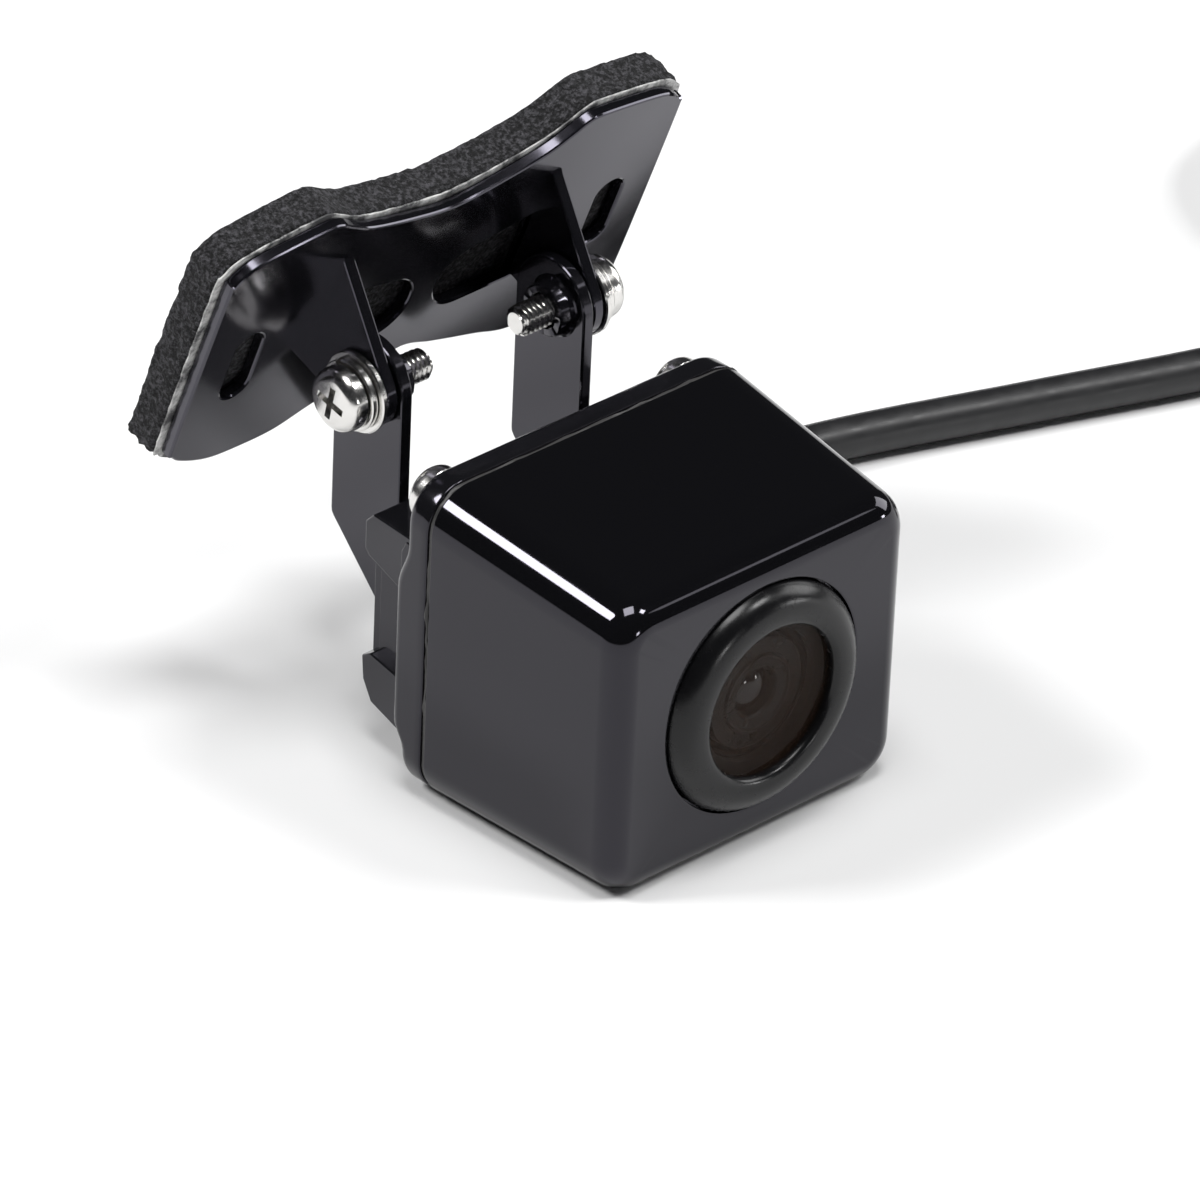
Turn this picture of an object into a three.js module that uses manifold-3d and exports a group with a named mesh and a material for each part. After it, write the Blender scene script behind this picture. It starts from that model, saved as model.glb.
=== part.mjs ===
// Backup camera on a tilting mounting bracket, with its own lead.
// Millimetres, +Z up. The lens looks along -Y. Everything is drawn from the housing seam, at y = 0 and
// z = 0 on the floor, and the whole is moved along Y at the end.
import * as THREE from 'three';
import { mergeVertices } from 'three/addons/utils/BufferGeometryUtils.js';
import Module from 'manifold-3d';

const wasm = await Module();
wasm.setup();

// ---------------------------------------------------------------- driving dimensions

// Housing. The seam between the front shell and the rear cover is the plane y = 0.
const rearHalfWidth = 15.2;
const rearHeight = 25.6;
const frontHalfWidth = 13.95;
const frontHeight = 23.5;
const shellDepth = 18.3;
const cornerRadius = 3.4;
const frontEdgeRadius = 2.0;
const wall = 1.6;
const frontWall = 2.2;
const seamGap = 0.35;

// Lens window.
const lensZ = 12.1;
const ringRadius = 9.0;
const ringSeatDepth = 0.9;
const ringProud = 1.35;
const glassRadius = 6.25;
const apertureRadius = 5.95;
const frontY = -shellDepth;
const ringSeatY = frontY + ringSeatDepth;
const ringFrontY = frontY - ringProud;

// Rear cover.
const coverRim = 3.7;
const coverBandRim = 2.7;
const coverEdge = 0.9;
const bossHalfWidth = 13.2;
const bossRearHalfWidth = 12.6;
const bossRearY = 9.6;
const channelFloorY = 8.6;
const lowerRib = [2.6, 7.2];
const upperRib = [15.5, 19.0];
const coverScrews = [[-8.5, 2.9], [8.5, 2.9], [-11.6, 22.8], [11.6, 22.8]];

// Fasteners: M2.5 pan heads throughout. The shanks are drawn a little under size.
const shankRadius = 1.23;
const screwHeadRadius = 2.45;
const smallHeadRadius = 2.1;
const boreRadius = 1.32;

// Yoke: a 1 mm stamping, a base strip with two arms.
const sheet = 1.0;
const armOuterX = 9.2;
const stripZ = [7.7, 14.5];
const stripFrontY = 8.75;
const armY = [9.85, 17.05];
const collarRadius = 2.1;
const collarLength = 1.2;

// Hinge axis, along X.
const hingeY = 12.95;
const hingeZ = 26.4;
const earInnerX = 9.4;
const threadTipX = 4.3;

// Mounting plate, modelled flat in its own tilted frame: local Y is its back, local Z its height.
const plateCentreY = 17.47;
const plateCentreZ = 29.75;
const plateTilt = THREE.MathUtils.degToRad(20.6);
const foamThickness = 3.0;
const foamOverhang = 0.7;
const windowEnd = { x: 4.0, z: -1.6, radius: 2.8 };
const bendZ = [-4.3, 6.8];
const windowTopZ = 2.3;
const earBossRadius = 2.9;
const earBoreRadius = 1.6;
const slotCentre = { x: 17.2, z: -1.2 };
const slotLength = 6.6;
const slotWidth = 2.6;
const slotReach = (slotLength - slotWidth) / 2;

// Lead.
const leadRadius = 1.65;
const exitZ = 11.1;
const hankX = [86.0, 159.9];
const hankY = [-0.95, 28.95];
const hankHeight = 10.3;
const tailY = -13.0;

// Facets round a turned piece and round a quarter of a corner.
const steps = 24;
const fineSteps = 32;
const screwSteps = 12;
const cornerSteps = 4;

// ---------------------------------------------------------------- materials

function material(color, roughness, metalness) {
  return new THREE.MeshStandardMaterial({ color, roughness, metalness });
}

const glossBlack = material(0x0c0c0e, 0.12, 0.0);
const satinBlack = material(0x141416, 0.4, 0.0);
const darkGlass = material(0x1a1210, 0.04, 0.1);
const lensGlass = material(0x18202c, 0.03, 0.0);
const nickel = material(0xc8c6c2, 0.22, 1.0);
const blackPaint = material(0x101013, 0.18, 0.0);
const foamGrey = material(0x2a2a2c, 0.95, 0.0);
const rubberBlack = material(0x121212, 0.6, 0.0);
const boardGreen = material(0x14512c, 0.45, 0.0);
const chipBlack = material(0x161618, 0.5, 0.0);
const filterBlue = material(0x86b0c0, 0.05, 0.0);
const pinBrass = material(0xc8a050, 0.3, 1.0);
const wireGreen = material(0x2c7a3c, 0.45, 0.0);
const wireBlue = material(0x2a4a9c, 0.45, 0.0);
const wireWhite = material(0xd8d8d2, 0.45, 0.0);

// ---------------------------------------------------------------- shape helpers

// A closed three.js geometry as a solid that can be joined and cut.
function solid(geometry) {
  geometry.deleteAttribute('normal');
  geometry.deleteAttribute('uv');
  const merged = mergeVertices(geometry, 1e-4);
  const position = merged.getAttribute('position').array;
  const triangles = [];
  let volume = 0;
  const corner = [new THREE.Vector3(), new THREE.Vector3(), new THREE.Vector3()];
  for (let i = 0; i < merged.index.count; i += 3) {
    const [a, b, c] = [0, 1, 2].map((k) => merged.index.getX(i + k));
    if (a === b || b === c || c === a) continue;
    triangles.push(a, b, c);
    [a, b, c].forEach((v, k) => corner[k].fromArray(position, 3 * v));
    volume += corner[0].dot(corner[1].clone().cross(corner[2]));
  }
  if (volume < 0) triangles.reverse();
  return new wasm.Manifold(new wasm.Mesh({
    numProp: 3,
    vertProperties: new Float32Array(position),
    triVerts: new Uint32Array(triangles),
  }));
}

// A solid as a named mesh.
function piece(name, body, surface) {
  const result = body.getMesh();
  const geometry = new THREE.BufferGeometry();
  geometry.setAttribute('position', new THREE.BufferAttribute(result.vertProperties, 3));
  geometry.setIndex(new THREE.BufferAttribute(result.triVerts, 1));
  geometry.computeVertexNormals();
  const mesh = new THREE.Mesh(geometry, surface);
  mesh.name = name;
  return mesh;
}

function union(first, ...others) {
  return others.reduce((whole, next) => whole.add(next), first);
}

// A rectangle with rounded corners.
function roundedRectangle(x0, x1, z0, z1, r) {
  const shape = new THREE.Shape();
  shape.moveTo(x0 + r, z0);
  shape.lineTo(x1 - r, z0);
  shape.absarc(x1 - r, z0 + r, r, -Math.PI / 2, 0, false);
  shape.lineTo(x1, z1 - r);
  shape.absarc(x1 - r, z1 - r, r, 0, Math.PI / 2, false);
  shape.lineTo(x0 + r, z1);
  shape.absarc(x0 + r, z1 - r, r, Math.PI / 2, Math.PI, false);
  shape.lineTo(x0, z0 + r);
  shape.absarc(x0 + r, z0 + r, r, Math.PI, Math.PI * 1.5, false);
  return shape;
}

// Points round a circle.
function circlePoints(x, z, r, count = 20) {
  return Array.from({ length: count }, (_, i) => {
    const angle = (2 * Math.PI * i) / count;
    return new THREE.Vector2(x + r * Math.cos(angle), z + r * Math.sin(angle));
  });
}

// The outline stretched round a set of points.
function stretchedOutline(points) {
  const sorted = [...points].sort((p, q) => p.x - q.x || p.y - q.y);
  const turn = (o, p, q) => (p.x - o.x) * (q.y - o.y) - (p.y - o.y) * (q.x - o.x);
  const chain = (list) => {
    const kept = [];
    for (const point of list) {
      while (kept.length > 1 && turn(kept.at(-2), kept.at(-1), point) <= 1e-9) kept.pop();
      kept.push(point);
    }
    return kept.slice(0, -1);
  };
  return new THREE.Shape([...chain(sorted), ...chain(sorted.reverse())]);
}

// A slab drawn in X and Z, from yFront to yBack.
function slabXZ(shape, yFront, yBack) {
  const geometry = new THREE.ExtrudeGeometry(shape, {
    depth: yBack - yFront, bevelEnabled: false, curveSegments: cornerSteps,
  });
  geometry.rotateX(Math.PI / 2);
  geometry.translate(0, yBack, 0);
  return solid(geometry);
}

// A slab drawn in Y and Z, from x0 to x1.
function slabYZ(shape, x0, x1) {
  const geometry = new THREE.ExtrudeGeometry(shape, {
    depth: x1 - x0, bevelEnabled: false, curveSegments: cornerSteps,
  });
  geometry.applyMatrix4(new THREE.Matrix4().makeBasis(
    new THREE.Vector3(0, 1, 0), new THREE.Vector3(0, 0, 1), new THREE.Vector3(1, 0, 0)));
  geometry.translate(x0, 0, 0);
  return solid(geometry);
}

// A slab drawn in X and Y, from z0 to z1.
function slabXY(shape, z0, z1) {
  const geometry = new THREE.ExtrudeGeometry(shape, {
    depth: z1 - z0, bevelEnabled: false, curveSegments: cornerSteps,
  });
  geometry.translate(0, 0, z0);
  return solid(geometry);
}

function box(x0, x1, y0, y1, z0, z1) {
  const geometry = new THREE.BoxGeometry(x1 - x0, y1 - y0, z1 - z0);
  geometry.translate((x0 + x1) / 2, (y0 + y1) / 2, (z0 + z1) / 2);
  return solid(geometry);
}

// A turned shape from a closed profile of [radius, height] points, about the Y axis.
function turnedGeometry(profile, segments) {
  const points = profile.map(([r, h]) => new THREE.Vector2(r, h));
  const open = profile[0][0] > 0 || profile.at(-1)[0] > 0;
  if (open) points.push(points[0].clone());
  return new THREE.LatheGeometry(points, segments);
}

function turnedY(profile, x, z, segments = steps) {
  const geometry = turnedGeometry(profile, segments);
  geometry.translate(x, 0, z);
  return solid(geometry);
}

// The same about an axis along X through y and z; side is 1 or -1.
function turnedX(profile, y, z, side, segments = steps) {
  const geometry = turnedGeometry(profile, segments);
  geometry.rotateZ(-side * Math.PI / 2);
  geometry.translate(0, y, z);
  return solid(geometry);
}

function rodProfile(radius, from, to) {
  return [[0, from], [radius, from], [radius, to], [0, to]];
}

function ringProfile(inner, outer, from, to) {
  return [[inner, from], [outer, from], [outer, to], [inner, to]];
}

// A pan-head screw profile: the head's underside at height 0, the head above, the shank below.
function panScrewProfile(headRadius, headHeight, shankRadius, shankLength, seat) {
  const points = [
    [0, -shankLength],
    [shankRadius, -shankLength],
    [shankRadius, 0],
    [headRadius, 0],
    [headRadius, headHeight * 0.45],
    [headRadius * 0.84, headHeight * 0.85],
    [headRadius * 0.55, headHeight],
    [0, headHeight],
  ];
  return points.map(([r, h]) => [r, seat + h]);
}

// The cross recess of a screw, as two crossed bars.
function crossRecess(reach, width) {
  const half = width / 2;
  return [[-reach, reach, -half, half], [-half, half, -reach, reach]];
}

// A tube along a curve through the given points.
function tube(points, radius, sides, stations) {
  const route = points.map((p) => new THREE.Vector3(...p));
  const curve = new THREE.CatmullRomCurve3(route, false, 'centripetal');
  const circle = new THREE.Shape(circlePoints(0, 0, radius, sides));
  return solid(new THREE.ExtrudeGeometry(circle, {
    steps: stations, bevelEnabled: false, extrudePath: curve,
  }));
}

// ---------------------------------------------------------------- housing

// A block with the housing's outline, drawn in by inset, tapering towards the front.
function housingBlock(inset, yFront, yBack, edge) {
  const outline = roundedRectangle(
    -rearHalfWidth + inset, rearHalfWidth - inset, inset, rearHeight - inset,
    Math.max(cornerRadius - inset, 0.8));
  const depth = yBack - yFront - 2 * edge;
  const geometry = new THREE.ExtrudeGeometry(outline, {
    depth, bevelEnabled: edge > 0, bevelThickness: edge, bevelSize: edge, bevelOffset: -edge,
    bevelSegments: 3, curveSegments: cornerSteps,
  });
  geometry.rotateX(Math.PI / 2);
  geometry.translate(0, yBack - edge, 0);
  const position = geometry.getAttribute('position');
  for (let i = 0; i < position.count; i += 1) {
    const along = Math.max(-position.getY(i), 0) / shellDepth;
    position.setX(i, position.getX(i) * (1 - along * (1 - frontHalfWidth / rearHalfWidth)));
    position.setZ(i, position.getZ(i) * (1 - along * (1 - frontHeight / rearHeight)));
  }
  return solid(geometry);
}

const postRadius = 2.4;
const postDepth = 8;

function screwPost(x, z) {
  const towardsX = Math.sign(x) * (rearHalfWidth - 0.9);
  const towardsZ = z < lensZ ? 0.9 : rearHeight - 1.4;
  return union(
    turnedY(rodProfile(postRadius, -postDepth, 0), x, z, screwSteps),
    box(Math.min(x, towardsX), Math.max(x, towardsX), -postDepth, 0, z - 1.6, z + 1.6),
    box(x - 1.6, x + 1.6, -postDepth, 0, Math.min(z, towardsZ), Math.max(z, towardsZ)));
}

let shell = housingBlock(0, frontY, frontEdgeRadius, frontEdgeRadius);
const shellEnvelope = shell.subtract(box(-20, 20, 0, 10, -5, 40));
shell = shellEnvelope.subtract(housingBlock(wall, frontY + frontWall, 4, 0));
for (const [x, z] of coverScrews) {
  shell = shell.add(screwPost(x, z).intersect(shellEnvelope));
}
for (const [x, z] of coverScrews) {
  shell = shell.subtract(turnedY(rodProfile(boreRadius, -postDepth + 1.4, 1), x, z, screwSteps));
}
const seatProfile = rodProfile(ringRadius + 0.18, frontY - 3, ringSeatY);
shell = shell.subtract(turnedY(seatProfile, 0, lensZ, fineSteps));
shell = shell.subtract(turnedY(rodProfile(5.0, frontY - 3, 0), 0, lensZ, fineSteps));

const bezelProfile = [
  [apertureRadius, ringFrontY + 0.5],
  [apertureRadius + 0.25, ringFrontY + 0.12],
  [apertureRadius + 0.7, ringFrontY],
  [ringRadius - 1.3, ringFrontY + 0.12],
  [ringRadius - 0.55, ringFrontY + 0.5],
  [ringRadius - 0.12, ringFrontY + 1.0],
  [ringRadius, frontY + 0.1],
  [ringRadius, ringSeatY - 0.03],
  [glassRadius + 0.08, ringSeatY - 0.03],
  [glassRadius + 0.08, ringFrontY + 0.75],
  [apertureRadius, ringFrontY + 0.75],
];
const glassFrontY = ringFrontY + 0.8;
const glassProfile = rodProfile(glassRadius - 0.03, glassFrontY, glassFrontY + 0.7);
const glassGasketProfile = ringProfile(5.2, 6.2, glassFrontY + 0.74, ringSeatY - 0.03);

const housing = new THREE.Group();
housing.add(
  piece('front_shell', shell, glossBlack),
  piece('lens_bezel', turnedY(bezelProfile, 0, lensZ, fineSteps), satinBlack),
  piece('cover_glass', turnedY(glassProfile, 0, lensZ, fineSteps), darkGlass),
  piece('glass_gasket', turnedY(glassGasketProfile, 0, lensZ, fineSteps), rubberBlack),
);

// ---------------------------------------------------------------- lens and boards

const barrelFrontY = frontY + 0.35;
const barrelRearY = -9.6;
const barrelProfile = [
  [3.3, barrelFrontY],
  [4.4, barrelFrontY],
  [4.4, barrelRearY],
  [1.9, barrelRearY],
  [1.9, barrelFrontY + 1.1],
];
const frontLensProfile = [
  [0, barrelFrontY + 0.75],
  [0.9, barrelFrontY + 0.87],
  [1.5, barrelFrontY + 1.1],
  [1.8, barrelFrontY + 1.35],
  [1.8, barrelFrontY + 2.1],
  [0, barrelFrontY + 2.1],
];
const holderRearY = -6.0;
const holderBase = holderRearY - 2.8;
const boardHalfWidth = 8.6;
const boardZ = [5.6, 21.6];

function boardSlab(yFront, yBack) {
  return box(-boardHalfWidth, boardHalfWidth, yFront, yBack, boardZ[0], boardZ[1]);
}

function centredBox(half, yFront, yBack) {
  return box(-half, half, yFront, yBack, lensZ - half, lensZ + half);
}

let holder = union(
  turnedY(rodProfile(5.6, -13, holderBase + 0.5), 0, lensZ, fineSteps),
  box(-6.5, 6.5, holderBase, holderRearY, lensZ - 6.5, lensZ + 6.5));
holder = holder.subtract(turnedY(rodProfile(4.5, -14, holderBase + 0.3), 0, lensZ, fineSteps));
holder = holder.subtract(box(-2.5, 2.5, -14, 0, lensZ - 2.5, lensZ + 2.5));
holder = holder.subtract(box(-4, 4, holderRearY - 1.4, 0, lensZ - 3.8, lensZ + 3.8));

housing.add(
  piece('lens_barrel', turnedY(barrelProfile, 0, lensZ, fineSteps), satinBlack),
  piece('front_lens', turnedY(frontLensProfile, 0, lensZ), lensGlass),
  piece('rear_lens', turnedY(rodProfile(1.8, -11.4, -10.4), 0, lensZ), lensGlass),
  piece('lens_holder', holder, satinBlack),
  piece('infrared_filter', centredBox(3, -8.95, -8.55), filterBlue),
  piece('image_sensor', centredBox(3.4, holderRearY - 1.0, holderRearY - 0.05), chipBlack),
  piece('sensor_board', boardSlab(holderRearY + 0.05, holderRearY + 1.05), boardGreen),
  piece('board_header', box(-5, 5, holderRearY + 1.1, -1.5, 6.0, 8.6), chipBlack),
  piece('video_board', boardSlab(-1.45, -0.45), boardGreen),
  piece('video_chip', centredBox(3, -2.6, -1.5), chipBlack),
);

// ---------------------------------------------------------------- rear cover

const gasketBand = housingBlock(0.25, 0.04, seamGap - 0.04, 0).subtract(housingBlock(1.2, -1, 1, 0));

// The cover is deeper across its middle than in the bands that hold the screws.
const middleBand = new THREE.Shape([
  new THREE.Vector2(-3, 3.4),
  new THREE.Vector2(2.5, 3.4),
  new THREE.Vector2(3.8, 5.6),
  new THREE.Vector2(3.8, 16.8),
  new THREE.Vector2(2.5, 20.4),
  new THREE.Vector2(-3, 20.4),
]);
const middle = housingBlock(0, -2, coverRim, coverEdge).intersect(slabYZ(middleBand, -20, 20));
let cover = housingBlock(0, -2, coverBandRim, coverEdge).add(middle);
cover = cover.subtract(box(-20, 20, -5, seamGap, -5, 40));
const bossPlan = new THREE.Shape([
  new THREE.Vector2(-bossHalfWidth, 2.4),
  new THREE.Vector2(bossHalfWidth, 2.4),
  new THREE.Vector2(bossRearHalfWidth, bossRearY),
  new THREE.Vector2(-bossRearHalfWidth, bossRearY),
]);
const chamfer = 0.9;
const bossSide = new THREE.Shape([
  new THREE.Vector2(2, lowerRib[0]),
  new THREE.Vector2(4.7, lowerRib[0]),
  new THREE.Vector2(8.4, lowerRib[0] + 0.8),
  new THREE.Vector2(9.4, lowerRib[0] + 2.3),
  new THREE.Vector2(bossRearY, lowerRib[1] - 0.4),
  new THREE.Vector2(channelFloorY, lowerRib[1] + 0.3),
  new THREE.Vector2(channelFloorY, upperRib[0] - 0.8),
  new THREE.Vector2(bossRearY, upperRib[0]),
  new THREE.Vector2(bossRearY, upperRib[1] - chamfer),
  new THREE.Vector2(bossRearY - chamfer, upperRib[1]),
  new THREE.Vector2(2, upperRib[1] + 0.3),
]);
const boss = slabYZ(bossSide, -20, 20).intersect(slabXY(bossPlan, -5, 40));
cover = cover.add(boss);
for (const side of [-1, 1]) {
  const inner = side * (armOuterX + 0.6);
  const outer = side * (bossRearHalfWidth - 0.1);
  cover = cover.add(box(Math.min(inner, outer), Math.max(inner, outer), channelFloorY - 1, 9.3, 7.0, 15.4));
}
cover = cover.subtract(housingBlock(wall + 0.6, -2, 1.5, 0).subtract(
  union(...coverScrews.map(([x, z]) => turnedY(rodProfile(postRadius, -3, 3), x, z, screwSteps)))));
cover = cover.subtract(box(-8, 8, 0, 6.2, 7.0, 15.6));
// The channel carries on round the boss's ends.
for (const side of [-1, 1]) {
  const endNotch = new THREE.Shape([
    new THREE.Vector2(5.4, 7.4),
    new THREE.Vector2(12, lowerRib[1] + 0.2),
    new THREE.Vector2(12, upperRib[0] - 0.2),
    new THREE.Vector2(5.4, 14.6),
  ]);
  const x0 = side > 0 ? bossRearHalfWidth - 0.8 : -bossHalfWidth - 2;
  const x1 = side > 0 ? bossHalfWidth + 2 : -bossRearHalfWidth + 0.8;
  cover = cover.subtract(slabYZ(endNotch, x0, x1));
}
for (const [x, z] of coverScrews) {
  cover = cover.subtract(turnedY(rodProfile(boreRadius, -3, 12), x, z, screwSteps));
  cover = cover.subtract(turnedY(rodProfile(smallHeadRadius + 0.3, coverBandRim, 12), x, z, screwSteps));
}
const yokeScrewX = 6.0;
const bootRadius = 2.6;
cover = cover.subtract(turnedY(rodProfile(bootRadius + 0.1, -3, 12), 0, exitZ));
for (const side of [-1, 1]) {
  cover = cover.subtract(turnedY(rodProfile(boreRadius, -3, 12), side * yokeScrewX, exitZ, screwSteps));
}

housing.add(
  piece('housing_gasket', gasketBand, rubberBlack),
  piece('rear_cover', cover, glossBlack),
);

coverScrews.forEach(([x, z], i) => {
  const profile = panScrewProfile(smallHeadRadius, 1.5, shankRadius, 8.8, coverBandRim + 0.05);
  let screw = turnedY(profile, x, z, screwSteps);
  for (const [a, b, c, d] of crossRecess(1.1, 0.45)) {
    screw = screw.subtract(box(x + a, x + b, coverBandRim + 0.9, coverBandRim + 3, z + c, z + d));
  }
  housing.add(piece(`rear_cover_screw_${i + 1}`, screw, nickel));
});

// ---------------------------------------------------------------- yoke

const armOutline = new THREE.Shape();
armOutline.moveTo(stripFrontY, stripZ[0]);
armOutline.lineTo(11.4, stripZ[0] + 0.5);
armOutline.lineTo(armY[1], 13.9);
armOutline.lineTo(armY[1], hingeZ);
armOutline.absarc((armY[0] + armY[1]) / 2, hingeZ, (armY[1] - armY[0]) / 2, 0, Math.PI, false);
armOutline.lineTo(armY[0], stripZ[1]);
armOutline.lineTo(stripFrontY, stripZ[1]);

const stripRectangle = roundedRectangle(-armOuterX, armOuterX, stripZ[0], stripZ[1], 0.2);
let yoke = slabXZ(stripRectangle, stripFrontY, stripFrontY + sheet);
for (const side of [-1, 1]) {
  const x0 = side > 0 ? armOuterX - sheet : -armOuterX;
  const collarFrom = armOuterX - sheet - collarLength;
  yoke = union(
    yoke,
    slabYZ(armOutline, x0, x0 + sheet),
    turnedX(rodProfile(collarRadius, collarFrom, armOuterX - 0.2), hingeY, hingeZ, side, screwSteps));
  yoke = yoke.subtract(turnedX(rodProfile(boreRadius, 4, 12), hingeY, hingeZ, side, screwSteps));
  yoke = yoke.subtract(turnedY(rodProfile(boreRadius, 7, 12), side * yokeScrewX, exitZ, screwSteps));
}
yoke = yoke.subtract(turnedY(rodProfile(bootRadius + 0.15, 7, 12), 0, exitZ));
housing.add(piece('yoke', yoke, blackPaint));

const stripBackY = stripFrontY + sheet;
['left', 'right'].forEach((name, i) => {
  const side = 2 * i - 1;
  const x = side * yokeScrewX;
  const profile = panScrewProfile(smallHeadRadius, 1.4, shankRadius, 2.9, stripBackY + 0.05);
  let yokeScrew = turnedY(profile, x, exitZ, screwSteps);
  for (const [a, b, c, d] of crossRecess(1.1, 0.45)) {
    const bar = box(x + a, x + b, stripBackY + 0.8, stripBackY + 3, exitZ + c, exitZ + d);
    yokeScrew = yokeScrew.subtract(bar);
  }
  housing.add(piece(`yoke_screw_${name}`, yokeScrew, nickel));

  // Hinge stack, outwards: arm, ear, flat washer, lock washer, head.
  const flatX = earInnerX + sheet + 0.08;
  const lockX = flatX + 0.55;
  const headX = lockX + 0.7;
  const headHeight = 1.55;
  const tip = headX - threadTipX;
  const hingeProfile = panScrewProfile(screwHeadRadius, headHeight, shankRadius, tip, headX);
  let hinge = turnedX(hingeProfile, hingeY, hingeZ, side, screwSteps);
  for (const [a, b, c, d] of crossRecess(1.35, 0.55)) {
    const [x0, x1] = side > 0 ? [headX + 0.85, headX + 3] : [-headX - 3, -headX - 0.85];
    hinge = hinge.subtract(box(x0, x1, hingeY + a, hingeY + b, hingeZ + c, hingeZ + d));
  }
  const flat = turnedX(ringProfile(1.4, 3.1, flatX, flatX + 0.5), hingeY, hingeZ, side);
  let lock = turnedX(ringProfile(1.4, 2.75, lockX, lockX + 0.65), hingeY, hingeZ, side);
  const gapX = side > 0 ? [lockX - 0.5, lockX + 1.2] : [-lockX - 1.2, -lockX + 0.5];
  lock = lock.subtract(box(gapX[0], gapX[1], hingeY + 0.2, hingeY + 0.6, hingeZ, hingeZ + 4));
  housing.add(
    piece(`hinge_screw_${name}`, hinge, nickel),
    piece(`flat_washer_${name}`, flat, nickel),
    piece(`lock_washer_${name}`, lock, nickel));
});

// ---------------------------------------------------------------- mounting plate and foam pad

// Half of the plate's outline from the middle of the top edge round to the middle of the bottom.
const plateHalf = [
  [0, 7.5], [4.2, 8.1], [8.2, 9.1], [10.4, 10.2], [11.6, 10.9], [13.0, 11.1], [18.3, 10.5],
  [20.2, 9.9], [21.2, 8.9], [21.5, 7.4], [21.5, -7.6], [21.1, -9.2], [19.8, -10.2],
  [17.2, -11.2], [14.5, -11.4], [11.1, -11.2], [8.2, -10.2], [5.6, -9.4], [3.1, -8.6], [0, -7.6],
];

function wingOutline(half, grow) {
  const mirrored = half.slice(1, -1).reverse().map(([x, z]) => [-x, z]);
  const points = [...half, ...mirrored].map(([x, z]) => {
    const point = new THREE.Vector2(x, z);
    return point.clone().multiplyScalar(1 + grow / Math.max(point.length(), 1));
  });
  return new THREE.Shape(points.reverse());
}

const ear = { y: hingeY - plateCentreY, z: hingeZ - plateCentreZ };
const earBossY = ear.y * Math.cos(plateTilt) + ear.z * Math.sin(plateTilt);
const earBossZ = ear.z * Math.cos(plateTilt) - ear.y * Math.sin(plateTilt);

let plate = slabXZ(wingOutline(plateHalf, 0), 0, sheet);
for (const side of [-1, 1]) {
  const opening = stretchedOutline([
    ...circlePoints(side * windowEnd.x, windowEnd.z, windowEnd.radius),
    new THREE.Vector2(side * earInnerX, bendZ[0]),
    new THREE.Vector2(side * earInnerX, windowTopZ),
  ]);
  const slot = stretchedOutline([
    ...circlePoints(side * slotCentre.x, slotCentre.z - slotReach, slotWidth / 2, 12),
    ...circlePoints(side * slotCentre.x, slotCentre.z + slotReach, slotWidth / 2, 12),
  ]);
  const earOutline = stretchedOutline([
    ...circlePoints(earBossY, earBossZ, earBossRadius),
    new THREE.Vector2(sheet * 0.6, bendZ[0]),
    new THREE.Vector2(sheet * 0.6, bendZ[1]),
  ]);
  const x0 = side > 0 ? earInnerX : -earInnerX - sheet;
  plate = plate.subtract(slabXZ(opening, -1, 3));
  plate = plate.subtract(slabXZ(slot, -1, 3));
  plate = plate.add(slabYZ(earOutline, x0, x0 + sheet));
  const earBore = turnedX(rodProfile(earBoreRadius, 5, 14), earBossY, earBossZ, side, screwSteps);
  plate = plate.subtract(earBore);
}

const foam = slabXZ(wingOutline(plateHalf, foamOverhang), sheet + 0.1, sheet + 0.1 + foamThickness);

const bracket = new THREE.Group();
bracket.add(piece('mount_plate', plate, blackPaint));
bracket.add(piece('foam_pad', foam, foamGrey));
bracket.position.set(0, plateCentreY, plateCentreZ);
bracket.rotation.x = plateTilt;

// ---------------------------------------------------------------- lead

const lead = new THREE.Group();

const bootEnd = 12.2;
const bootProfile = [
  [leadRadius + 0.06, 2.6],
  [3.6, 2.6],
  [3.6, 6.0],
  [bootRadius, 6.0],
  [bootRadius, 9.85],
  [bootRadius + 0.5, 9.95],
  [bootRadius + 0.5, 10.7],
  [2.1, bootEnd],
  [leadRadius + 0.06, bootEnd],
];
lead.add(piece('cable_boot', turnedY(bootProfile, 0, exitZ), rubberBlack));

// The lead turns down and aside in one bend, levels out on the floor and runs to the hank's near side.
const floorZ = leadRadius + 0.1;
const bendRadius = 7.6;
const exitBend = [15, 30, 45, 60, 75, 90].map((degrees) => {
  const angle = THREE.MathUtils.degToRad(degrees);
  const aside = bendRadius * (1 - Math.cos(angle)) * Math.SQRT1_2;
  return [aside, bootEnd + bendRadius * Math.sin(angle), exitZ - aside];
});
const leadPath = [
  [0, 6.5, exitZ],
  [0, bootEnd, exitZ],
  ...exitBend,
  [7.0, bootEnd + bendRadius, 4.1],
  [9.7, bootEnd + bendRadius - 0.1, 2.35],
  [13.2, bootEnd + bendRadius - 0.4, floorZ],
  [23, 18.4, floorZ],
  [38, 15.6, floorZ],
  [55, 9.8, floorZ],
  [71, 4.2, floorZ],
  [83, 1.3, floorZ],
  [hankX[0] + 5.0, 0.7, floorZ],
];
lead.add(piece('lead_cable', tube(leadPath, leadRadius, 8, 36), rubberBlack));

const hankRadius = (hankY[1] - hankY[0]) / 2 - 0.01;
const hankOutline = roundedRectangle(hankX[0], hankX[1], hankY[0], hankY[1], hankRadius);
lead.add(piece('cable_hank', slabXY(hankOutline, 0.1, hankHeight), rubberBlack));

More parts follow.
